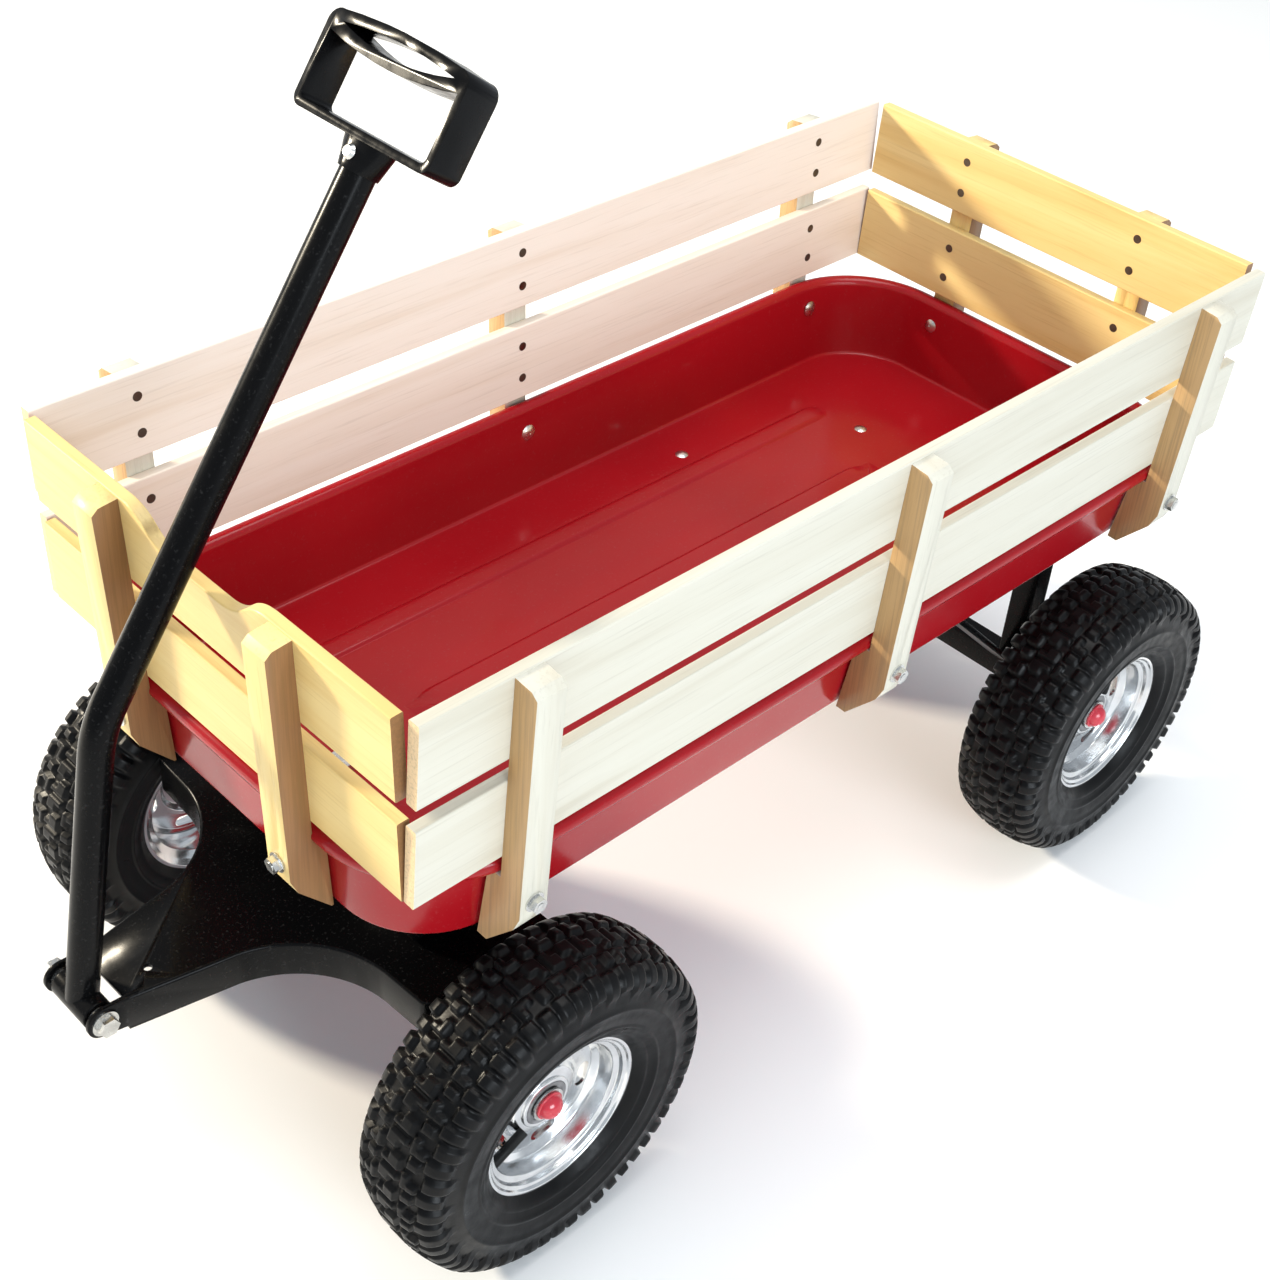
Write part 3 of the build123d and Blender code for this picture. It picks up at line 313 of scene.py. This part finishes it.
def make_materials():
    # one pine in lit and shaded copies: pale_pine is partly a paler wood and partly painted light of the cool
    # fill on the wagon's left side
    pale_pine = ((0.66, 0.635, 0.545), (0.63, 0.60, 0.505), (0.56, 0.52, 0.42))
    lit_pale_pine = ((0.88, 0.79, 0.69), (0.85, 0.75, 0.64), (0.78, 0.66, 0.53))
    warm_pine = ((0.84, 0.645, 0.285), (0.80, 0.585, 0.235), (0.70, 0.46, 0.16))
    # painted shade for the Y-facing sides of the end boards and end stakes, also darkening the end boards'
    # end grain; painted light on the long boards' ends
    side_shading, lit_end = (0.27, 0.135, 0.054), (0.80, 0.58, 0.33)
    return {
        "tray": enamel("tray_enamel", (0.31, 0.0045, 0.009), (0.40, 0.007, 0.013), 0.18, 0.24, 0.12),
        "black": enamel("black_enamel", (0.0022, 0.0022, 0.0025), (0.0040, 0.0040, 0.0043), 0.20, 0.09, 0.0),
        "board_x": wood("board_wood_left", "X", *pale_pine, lit_end, "X", 0.45),
        # the right boards wear a lit copy of the pine: painted light
        "board_far": wood("board_wood_right", "X", *lit_pale_pine, lit_end, "X", 0.45),
        "board_y": wood("board_wood_end", "Y", *warm_pine, side_shading, "Y", 0.42),
        "stake_x": wood("stake_wood_end", "Z", *warm_pine, side_shading, "Y", 0.45),
        # the long-side stakes' X-facing sides take a painted shade
        "stake_y": wood("stake_wood_side", "Z", *pale_pine, (0.50, 0.31, 0.14), "X", 0.45),
        "zinc": plated("zinc", (0.78, 0.78, 0.76), 0.24),
        "screw": plated("screw_zinc", (0.16, 0.13, 0.10), 0.45),
        "steel": plated("axle_steel", (0.60, 0.60, 0.60), 0.30),
        "rim": plated("rim_zinc", (0.80, 0.81, 0.82), 0.13, 0.06),
        "tyre": rubber("tyre_rubber", (0.0030, 0.0030, 0.0034), (0.0060, 0.0060, 0.0062), 0.38),
        "tube": rubber("tube_rubber", (0.006, 0.006, 0.006), (0.012, 0.012, 0.012), 0.45),
        "bearing": plated("bearing_steel", (0.35, 0.35, 0.36), 0.35),
        "cap": plastic("cap_red", (0.62, 0.030, 0.055), (0.54, 0.022, 0.040), 0.25, 0.4, 0.5),
        "wear": plastic("wear_plastic", (0.75, 0.74, 0.70), (0.66, 0.65, 0.60), 0.5, 0.0, 0.5),
        "grip": plastic("grip_black", (0.0045, 0.0045, 0.0050), (0.0028, 0.0028, 0.0030), 0.22, 0.0, 0.12),
    }


# ---------------------------------------------------------------- mesh helpers
BEVEL_ANGLE, BEVEL_SEGMENTS = radians(32.0), 3


def finish_piece(piece, material, body):
    """Smooth-shades a new piece, paints it and lets it ride on its body."""
    scene.collection.objects.link(piece)
    piece.data.materials.clear()
    piece.data.materials.append(material)
    for polygon in piece.data.polygons:
        polygon.use_smooth = True
    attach(piece, body)


def applied(piece):
    """Bakes a piece's modifiers into its mesh."""
    bpy.context.view_layer.update()
    graph = bpy.context.evaluated_depsgraph_get()
    mesh = bpy.data.meshes.new_from_object(piece.evaluated_get(graph))
    old = piece.data
    piece.modifiers.clear()
    piece.data = mesh
    bpy.data.meshes.remove(old)


def softened(node, width, material, body):
    """A copy of a CAD node with its hard edges rounded, standing for that node."""
    source = frame["nodes"][node]
    mesh = bmesh.new()
    mesh.from_mesh(source.data)
    bmesh.ops.remove_doubles(mesh, verts=mesh.verts, dist=1e-5)
    bmesh.ops.dissolve_limit(mesh, angle_limit=radians(2), verts=mesh.verts, edges=mesh.edges)
    data = bpy.data.meshes.new(f"{node}_soft")
    mesh.to_mesh(data)
    mesh.free()
    piece = bpy.data.objects.new(f"{node}_soft", data)
    scene.collection.objects.link(piece)
    bevel = piece.modifiers.new("bevel", "BEVEL")
    bevel.width = width
    bevel.segments = BEVEL_SEGMENTS
    bevel.limit_method = "ANGLE"
    bevel.angle_limit = BEVEL_ANGLE
    bevel.use_clamp_overlap = True
    bevel.harden_normals = True
    applied(piece)
    scene.collection.objects.unlink(piece)
    finish_piece(piece, material, body)
    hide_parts(node)


def rounded(points, radius, steps=4):
    """A closed outline with its corners turned into arcs; a point may carry its own radius third."""
    outline = []
    count = len(points)
    for index, point in enumerate(points):
        here = Vector(point[:2])
        own = point[2] if len(point) > 2 else radius
        before = Vector(points[index - 1][:2]) - here
        after = Vector(points[(index + 1) % count][:2]) - here
        turn = pi - before.angle(after)
        if own <= 0 or turn < 0.02:
            outline.append(here)
            continue
        setback = own * np.tan(turn / 2)
        setback = min(setback, 0.45 * before.length, 0.45 * after.length)
        start = here + before.normalized() * setback
        end = here + after.normalized() * setback
        for step in range(steps + 1):
            share = step / steps
            outline.append((1 - share) ** 2 * start + 2 * share * (1 - share) * here + share**2 * end)
    return outline


def lathe(outline, segments):
    """Vertices and faces of a closed outline of (radius, height) turned about Z."""
    verts, faces = [], []
    count = len(outline)
    for step in range(segments):
        angle = tau * step / segments
        for radius, height in outline:
            verts.append((radius * cos(angle), radius * sin(angle), height))
    for step in range(segments):
        following = (step + 1) % segments
        for index in range(count):
            after = (index + 1) % count
            faces.append(
                (
                    step * count + index,
                    following * count + index,
                    following * count + after,
                    step * count + after,
                )
            )
    return verts, faces


def solid_of(name, shapes):
    """One mesh from several (vertices, faces) shapes, with its normals facing out."""
    data = bpy.data.meshes.new(name)
    verts, faces = [], []
    for shape_verts, shape_faces in shapes:
        base = len(verts)
        verts += [tuple(v) for v in shape_verts]
        faces += [tuple(base + i for i in face) for face in shape_faces]
    data.from_pydata(verts, [], faces)
    mesh = bmesh.new()
    mesh.from_mesh(data)
    bmesh.ops.remove_doubles(mesh, verts=mesh.verts, dist=1e-6)
    bmesh.ops.recalc_face_normals(mesh, faces=mesh.faces)
    mesh.to_mesh(data)
    mesh.free()
    return data


def smoothstep(value):
    value = np.clip(value, 0.0, 1.0)
    return value * value * (3 - 2 * value)


# ---------------------------------------------------------------- tray
SHEET = 2 * MM
FLOOR_TOP = TRAY_LOW.z + SHEET
BEAD = 8 * MM
RIM_HALF = Vector((TRAY_HIGH.x - BED_X - BEAD, TRAY_HIGH.y - BEAD))
FLOOR_HALF = RIM_HALF - Vector((5, 10.5)) * MM
RIM_CORNER, FLOOR_CORNER = 80 * MM, 68 * MM
CREASE = 4.5 * MM
RIB_RISE = 2.5 * MM
# raised middle and ribs of the floor, in mm: (place across, half length, half width)
RIBS = ((0, 250, 24), (104, 280, 8.5), (-104, 280, 8.5))
RIB_EDGES = (24, 95.5, 112.5)


def ring(half_x, half_y, corner, z, counts):
    """A rounded rectangle of points, always with the same number along each stretch."""
    corner = max(corner, 0.0)
    straight = Vector((half_x - corner, half_y - corner))
    signs = ((1, 1), (-1, 1), (-1, -1), (1, -1))
    points = []
    for quarter, sign in enumerate(signs):
        start = 0.5 * pi * quarter
        offset = Vector((cos(start), sin(start))) * corner
        centre = Vector((sign[0] * straight.x, sign[1] * straight.y))
        before = signs[quarter - 1]
        side_start = Vector((before[0] * straight.x, before[1] * straight.y)) + offset
        count = counts[1] if quarter % 2 == 0 else counts[0]
        for step in range(count):
            spot = side_start.lerp(centre + offset, step / count)
            points.append((spot.x, spot.y, z))
        for step in range(counts[2]):
            angle = start + 0.5 * pi * step / counts[2]
            points.append((centre.x + corner * cos(angle), centre.y + corner * sin(angle), z))
    return points


def rib_height(x, y):
    """Height of the pressed ribs and of the raised middle of the floor."""
    ramp = 4 * MM
    height = 0.0
    for rib_y, half_length, half_width in RIBS:
        reach = max(abs(x) - (half_length - half_width) * MM, 0.0)
        inside = half_width * MM - hypot(reach, y - rib_y * MM)
        height = max(height, float(smoothstep(inside / ramp + 0.5)))
    return height * RIB_RISE


def make_tray(materials):
    """Pressed tray: ribbed floor, rounded crease, flared wall and a rolled rim."""
    counts = (150, 80, 18)
    wall_height = TRAY_HIGH.z - TRAY_LOW.z

    def wall_ring(z, inset):
        share = (z - TRAY_LOW.z) / wall_height
        half = FLOOR_HALF.lerp(RIM_HALF, share)
        corner = FLOOR_CORNER + (RIM_CORNER - FLOOR_CORNER) * share
        return ring(half.x - inset, half.y - inset, corner - inset, z, counts)

    rings = []
    flat_half = FLOOR_HALF.lerp(RIM_HALF, SHEET / wall_height) - Vector((SHEET + CREASE,) * 2)
    flat_corner = FLOOR_CORNER - SHEET - CREASE
    lines = set(np.arange(0, flat_half.y / MM - 1, 7.0))
    lines |= {edge + step for edge in RIB_EDGES for step in range(-3, 4)}
    for y in sorted(lines):
        inset = flat_half.y - y * MM
        rings.append(ring(flat_half.x - inset, y * MM, flat_corner - inset, FLOOR_TOP, counts))
    for step in range(8):
        angle = 0.5 * pi * step / 7
        rings.append(wall_ring(FLOOR_TOP + CREASE * (1 - cos(angle)), SHEET + CREASE * (1 - sin(angle))))
    for share in (0.2, 0.4, 0.6, 0.8):
        low, high = FLOOR_TOP + CREASE, TRAY_HIGH.z - 5 * MM
        rings.append(wall_ring(low + (high - low) * share, SHEET))
    roll = 5 * MM
    for step in range(15):
        angle = pi - radians(290) * step / 14
        height = TRAY_HIGH.z - roll + roll * sin(angle)
        out = 3 * MM + roll * cos(angle)
        rings.append(ring(RIM_HALF.x + out, RIM_HALF.y + out, RIM_CORNER + out, height, counts))
    size = len(rings[0])
    verts = []
    for points in rings:
        for x, y, z in points:
            lift = rib_height(x, y) if z == FLOOR_TOP else 0.0
            verts.append((x + BED_X, y, z + lift))
    faces = []
    for level in range(len(rings) - 1):
        for index in range(size):
            after = (index + 1) % size
            low, high = level * size, (level + 1) * size
            faces.append((low + index, low + after, high + after, high + index))
    data = bpy.data.meshes.new("tray_skin")
    data.from_pydata(verts, [], faces)
    mesh = bmesh.new()
    mesh.from_mesh(data)
    bmesh.ops.remove_doubles(mesh, verts=mesh.verts, dist=1e-5)
    mesh.to_mesh(data)
    mesh.free()
    tray = bpy.data.objects.new("tray_pressed", data)
    scene.collection.objects.link(tray)
    solid = tray.modifiers.new("skin", "SOLIDIFY")
    solid.thickness = SHEET * 0.9
    solid.offset = -1.0
    applied(tray)
    scene.collection.objects.unlink(tray)
    finish_piece(tray, materials["tray"], "chassis")
    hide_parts("tray")


# ---------------------------------------------------------------- wheels
TYRE_R = 129 * MM
TYRE_REACH_MM = 40.3
WHEEL_SEGMENTS, WINDOWS = 120, 5
PITCHES, PITCH_STEPS = 28, 20
LUG_RISE = 4.2 * MM
# blocks of the tread in one pitch, in mm: (start round, end round, inner edge, outer edge)
CENTRE_BLOCKS = (
    (1.5, 13.0, -8.0, 2.0), (1.5, 7.0, 2.0, 8.5),
    (16.0, 27.0, -2.0, 8.0), (21.5, 27.0, -8.5, -2.0),
)
MIDDLE_BLOCKS = ((3.0, 15.0, 11.0, 16.5), (9.5, 15.0, 16.5, 23.0), (18.5, 26.0, 12.5, 22.0))
SHOULDER_BLOCKS = ((1.0, 10.5, 26.5, 46.0), (15.0, 24.5, 24.5, 41.0))


def block_field(round_mm, across_mm):
    """Height, 0 to 1, of the tread at places round the tyre and across it."""
    pitch = tau * (TYRE_R / MM - 2) / PITCHES
    edge = 1.1
    field = np.zeros(np.broadcast(round_mm, across_mm).shape)
    rows = [(CENTRE_BLOCKS, 1, 0.0)]
    for side, shift in ((1, 0.25), (-1, 0.75)):
        rows.append((MIDDLE_BLOCKS, side, shift))
        rows.append((SHOULDER_BLOCKS, side, shift + 0.1))
    for blocks, side, shift in rows:
        local = np.mod(round_mm + shift * pitch, pitch)
        for start, end, inner, outer in blocks:
            across = across_mm * side
            inside_round = np.minimum(local - start, end - local)
            inside = np.minimum(inside_round, np.minimum(across - inner, outer - across))
            field = np.maximum(field, smoothstep(inside / edge + 0.5))
    return field


def tyre_section():
    """Half section of the tyre from its crown to its bead, as (place across, radius, lug share)."""
    crown = []
    for across in np.linspace(0, 31, 26):
        crown.append((across, 125.2 - 5.2 * (across / 31) ** 2.2, 1.0))
    shoulder = [
        (32.6, 118.6, 1.0), (34.0, 116.8, 1.0), (35.2, 114.8, 1.0), (36.1, 112.6, 0.9), (36.8, 110.2, 0.7),
        (37.3, 107.6, 0.45), (37.8, 104.5, 0.2), (38.4, 101.0, 0.0),
    ]
    wall = [
        (38.8, 97.5), (39.5, 96.6), (39.6, 95.2), (38.9, 94.2), (38.7, 90.0), (38.2, 86.0), (37.5, 82.5),
        (37.4, 81.4), (37.9, 80.5), (37.7, 79.2), (36.6, 78.3), (35.4, 75.5), (34.6, 74.2), (34.4, 73.2),
        (34.6, 72.2), (34.0, 71.0), (32.4, 69.0), (30.4, 67.0), (28.8, 65.6), (27.4, 64.2),
        (26.4, 62.4), (24.0, 60.5),
    ]
    return crown + shoulder + [(across, radius, 0.0) for across, radius in wall]


def tyre_mesh():
    """Knobbly pneumatic tyre about Z: tread blocks, ribbed walls and beads."""
    half = tyre_section()
    section = [(-a, r, share) for a, r, share in reversed(half)] + half[1:]
    across = np.array([p[0] for p in section])
    radius = np.array([p[1] for p in section])
    share = np.array([p[2] for p in section])
    tangent = np.stack([np.gradient(across), np.gradient(radius)])
    tangent /= np.hypot(*tangent)
    normal_across, normal_radius = -tangent[1], tangent[0]
    arc = np.cumsum(np.hypot(np.diff(across, prepend=across[0]), np.diff(radius, prepend=radius[0])))
    arc -= arc[len(arc) // 2]
    steps = PITCHES * PITCH_STEPS
    angles = tau * np.arange(steps) / steps
    round_mm = angles * (TYRE_R / MM - 2)
    lift = block_field(round_mm[:, None], arc[None, :]) * share[None, :] * LUG_RISE / MM
    lift *= 1 - 0.12 * (np.abs(across[None, :]) / 40)
    place_a = across[None, :] + normal_across[None, :] * lift
    place_r = radius[None, :] + normal_radius[None, :] * lift
    place_a = np.clip(place_a, -TYRE_REACH_MM, TYRE_REACH_MM)
    place_r = np.minimum(place_r, TYRE_R / MM)
    verts = np.stack([place_r * np.cos(angles)[:, None], place_r * np.sin(angles)[:, None], place_a], -1)
    count = len(section)
    index = np.arange(steps * count).reshape(steps, count)
    after = np.roll(index, -1, axis=0)
    faces = np.stack([index[:, :-1], after[:, :-1], after[:, 1:], index[:, 1:]], -1).reshape(-1, 4)
    inner_first, inner_last = index[:, 0], index[:, -1]
    closing = np.stack([inner_last, np.roll(inner_last, -1), np.roll(inner_first, -1), inner_first], -1)
    data = bpy.data.meshes.new("tyre_tread")
    data.from_pydata((verts.reshape(-1, 3) * MM).tolist(), [], np.concatenate([faces, closing]).tolist())
    data.update()
    return data


def rim_mesh():
    """Two-flange plated rim: rolled lips, stepped bowl, windowed disc and hub."""
    barrel = [
        (66.2, 24.6, 0.8), (66.2, 27.8, 1.4), (62.6, 27.8, 1.4), (61.4, 25.6, 0.8), (59.0, 25.0, 1.0),
        (58.2, 21.4, 1.2), (54.0, 20.6, 1.2), (52.0, 9.0, 3.0), (46.8, 5.4, 2.0), (46.8, 2.6, 0.8),
        (54.2, 3.6, 2.0), (56.2, 18.6, 1.2), (60.2, 19.6, 1.2), (60.8, 23.4, 1.0),
    ]
    inner_barrel = [
        (54.6, 4.4, 0.6), (54.6, -18.6, 1.2), (60.4, -20.4, 1.2), (61.4, -24.6, 1.0), (66.2, -24.6, 0.8),
        (66.2, -27.8, 1.4), (62.4, -27.8, 1.4), (58.2, -24.0, 1.2), (52.4, -20.0, 1.2), (52.4, 2.8, 0.6),
    ]
    hub = [(17.6, 12.0, 0.6), (20.8, 12.0, 1.0), (20.8, -50.4, 0.8), (17.6, -50.4, 0.6)]
    collar = [
        (20.6, 10.4, 0.5), (27.5, 9.8, 2.0), (31.0, 5.4, 2.5), (33.6, 4.8, 0),
        (33.6, 2.4, 0), (30.2, 2.8, 2.0), (26.4, 7.2, 2.0), (20.6, 7.8, 0.4),
    ]
    disc = [(33.2, 4.8, 0), (47.2, 5.2, 0), (47.2, 2.8, 0), (33.2, 2.4, 0)]

    def scaled(points, corner):
        return [(p.x * MM, p.y * MM) for p in rounded(points, corner)]

    disc_data = solid_of("rim_disc", [lathe(scaled(disc, 0), WHEEL_SEGMENTS)])
    disc_piece = bpy.data.objects.new("rim_disc", disc_data)
    scene.collection.objects.link(disc_piece)
    cutters = []
    for window in range(WINDOWS):
        angle = tau * window / WINDOWS
        outline = []
        for side in (1, -1):
            for step in range(13):
                turn = pi * step / 12
                around = side * (6.5 + 4.6 * sin(turn)) * MM
                out = side * 4.6 * cos(turn) * MM
                outline.append((out, around))
        outline = [(39.9 * MM + out, around) for out, around in outline]
        turned = [(x * cos(angle) - y * sin(angle), x * sin(angle) + y * cos(angle)) for x, y in outline]
        count = len(turned)
        verts = [(x, y, z * MM) for z in (-2, 10) for x, y in turned]
        faces = [tuple(range(count)), tuple(range(count, 2 * count))]
        faces += [(i, (i + 1) % count, count + (i + 1) % count, count + i) for i in range(count)]
        cutters.append((verts, faces))
    cutter = bpy.data.objects.new("windows", solid_of("windows", cutters))
    scene.collection.objects.link(cutter)
    cut = disc_piece.modifiers.new("windows", "BOOLEAN")
    cut.operation = "DIFFERENCE"
    cut.solver = "EXACT"
    cut.object = cutter
    applied(disc_piece)
    shapes = [lathe(scaled(points, 0.8), WHEEL_SEGMENTS) for points in (barrel, inner_barrel, hub, collar)]
    disc_shape = (
        [tuple(v.co) for v in disc_piece.data.vertices],
        [tuple(p.vertices) for p in disc_piece.data.polygons],
    )
    data = solid_of("rim_shape", shapes + [disc_shape])
    bpy.data.objects.remove(disc_piece)
    bpy.data.objects.remove(cutter)
    return data


def wheel_matrix(corner):
    """Places a wheel made about Z, its outer face up, on its axle."""
    joint = JOINTS[f"{corner}_roll"]
    side = 1 if corner.endswith("left") else -1
    x_axis, z_axis = Vector((1, 0, 0)), Vector((0, side, 0))
    y_axis = z_axis.cross(x_axis)
    matrix = Matrix((x_axis, y_axis, z_axis)).transposed().to_4x4()
    matrix.translation = Vector(joint["pos_m"])
    return matrix


WHEEL_SPINS = {"front_left": 25, "front_right": 140, "rear_left": 260, "rear_right": 70}


def make_wheels(materials):
    tyre, rim = tyre_mesh(), rim_mesh()
    for corner, spin in WHEEL_SPINS.items():
        place = wheel_matrix(corner) @ Matrix.Rotation(radians(spin), 4, "Z")
        for piece, shape, slot in (("tyre", tyre, "tyre_rubber"), ("rim", rim, "rim_zinc")):
            data = shape.copy()
            data.transform(place)
            wheel_piece = bpy.data.objects.new(f"{corner}_{piece}_full", data)
            finish_piece(wheel_piece, materials[piece], f"{corner}_wheel")
            if piece == "rim":
                wheel_piece.data.set_sharp_from_angle(angle=radians(38))
            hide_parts(f"{corner}_{piece}")


# ---------------------------------------------------------------- handle
LOWER_LEAN, UPPER_LEAN = radians(10), radians(34)
LOWER_LENGTH, UPPER_LENGTH, BEND_R = 213 * MM, 375 * MM, 90 * MM
HANDLE_R = 11 * MM


def handle_path():
    """Middle of the tube from the pivot to the grip, as (point, direction)."""
    lower = Vector((-sin(LOWER_LEAN), 0, cos(LOWER_LEAN)))
    upper = Vector((-sin(UPPER_LEAN), 0, cos(UPPER_LEAN)))
    bend = PIVOT + lower * LOWER_LENGTH
    setback = BEND_R * np.tan((UPPER_LEAN - LOWER_LEAN) / 2)
    path = [(PIVOT + lower * 2 * MM, lower)]
    for step in range(13):
        lean = LOWER_LEAN + (UPPER_LEAN - LOWER_LEAN) * step / 12
        direction = Vector((-sin(lean), 0, cos(lean)))
        start = bend - lower * setback
        centre = start - Vector((cos(LOWER_LEAN), 0, sin(LOWER_LEAN))) * BEND_R
        path.append((centre + Vector((cos(lean), 0, sin(lean))) * BEND_R, direction))
    path.append((bend + upper * (UPPER_LENGTH - 1 * MM), upper))
    return path


def make_handle(materials):
    """Bent tube with a pivot bush welded across its foot."""
    around = 48
    verts, faces = [], []
    across = Vector((0, 1, 0))
    path = handle_path()
    for point, direction in path:
        normal = direction.cross(across)
        for step in range(around):
            angle = tau * step / around
            verts.append(point + (normal * cos(angle) + across * sin(angle)) * HANDLE_R)
    for level in range(len(path) - 1):
        for step in range(around):
            after = (step + 1) % around
            low, high = level * around, (level + 1) * around
            faces.append((low + step, low + after, high + after, high + step))
    faces.append(tuple(reversed(range(around))))
    faces.append(tuple(range((len(path) - 1) * around, len(path) * around)))
    bush = [(4.2, -19.8, 0.3), (10.8, -19.8, 1.2), (10.8, 19.8, 1.2), (4.2, 19.8, 0.3)]
    bush_verts, bush_faces = lathe([(p.x * MM, p.y * MM) for p in rounded(bush, 1.0)], around)
    bush_verts = [Vector((x, z, y)) + PIVOT for x, y, z in bush_verts]
    data = solid_of("handle_bent", [(verts, faces), (bush_verts, bush_faces)])
    handle = bpy.data.objects.new("handle_bent", data)
    finish_piece(handle, materials["black"], "handle")
    data.set_sharp_from_angle(angle=radians(40))
    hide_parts("handle_tube")


# ---------------------------------------------------------------- the rest
def body_of_node(node):
    for body, nodes in record["behaviour"]["bodies"].items():
        if node in nodes:
            return body
    raise KeyError(node)


NODE_PAINT = {
    "tray_enamel": "tray", "black_enamel": "black", "zinc": "zinc", "axle_steel": "steel",
    "rim_zinc": "rim", "tyre_rubber": "tyre", "tube_rubber": "tube", "bearing_steel": "bearing",
    "cap_red": "cap", "wear_plastic": "wear", "grip_black": "grip",
}
LONG_BOARD_PAINT = {"left": "board_x", "right": "board_far"}


def paint_of(node, slot):
    """Name of the material that a CAD node wears."""
    on_long_side = node.startswith(("left", "right"))
    if slot == "board_wood":
        return LONG_BOARD_PAINT[node.split("_")[0]] if on_long_side else "board_y"
    if slot == "stake_wood":
        return "stake_y" if on_long_side else "stake_x"
    if node == "board_screws":
        return "screw"
    return NODE_PAINT[slot]


def paint_nodes(materials):
    """Gives every CAD node its full material."""
    for entry in record["subparts"]:
        node, slot = entry["node"], entry["material_slot"]
        obj = frame["nodes"][node]
        obj.data.materials.clear()
        obj.data.materials.append(materials[paint_of(node, slot)])


# width of the rounded edges, in mm
SOFTENED = {
    "tongue_plate": 0.8, "front_axle_frame": 1.2, "rear_axle_frame": 1.2, "front_bolster": 0.8, "grip": 1.6,
    "front_axle_caps": 0.5, "rear_axle_caps": 0.5,
}
STAKE_EDGE = 1.6


def make_softened(materials):
    """Rounds the hard edges of the frames, the grip, the caps and the stakes."""
    slots = {entry["node"]: entry["material_slot"] for entry in record["subparts"]}
    for node, width in SOFTENED.items():
        slot = slots[node]
        softened(node, width * MM, materials[paint_of(node, slot)], body_of_node(node))
    for node, slot in slots.items():
        if slot == "stake_wood":
            softened(node, STAKE_EDGE * MM, materials[paint_of(node, slot)], "chassis")


make_camera()
make_stage()
all_materials = make_materials()
paint_nodes(all_materials)
make_tray(all_materials)
make_wheels(all_materials)
make_handle(all_materials)
make_softened(all_materials)
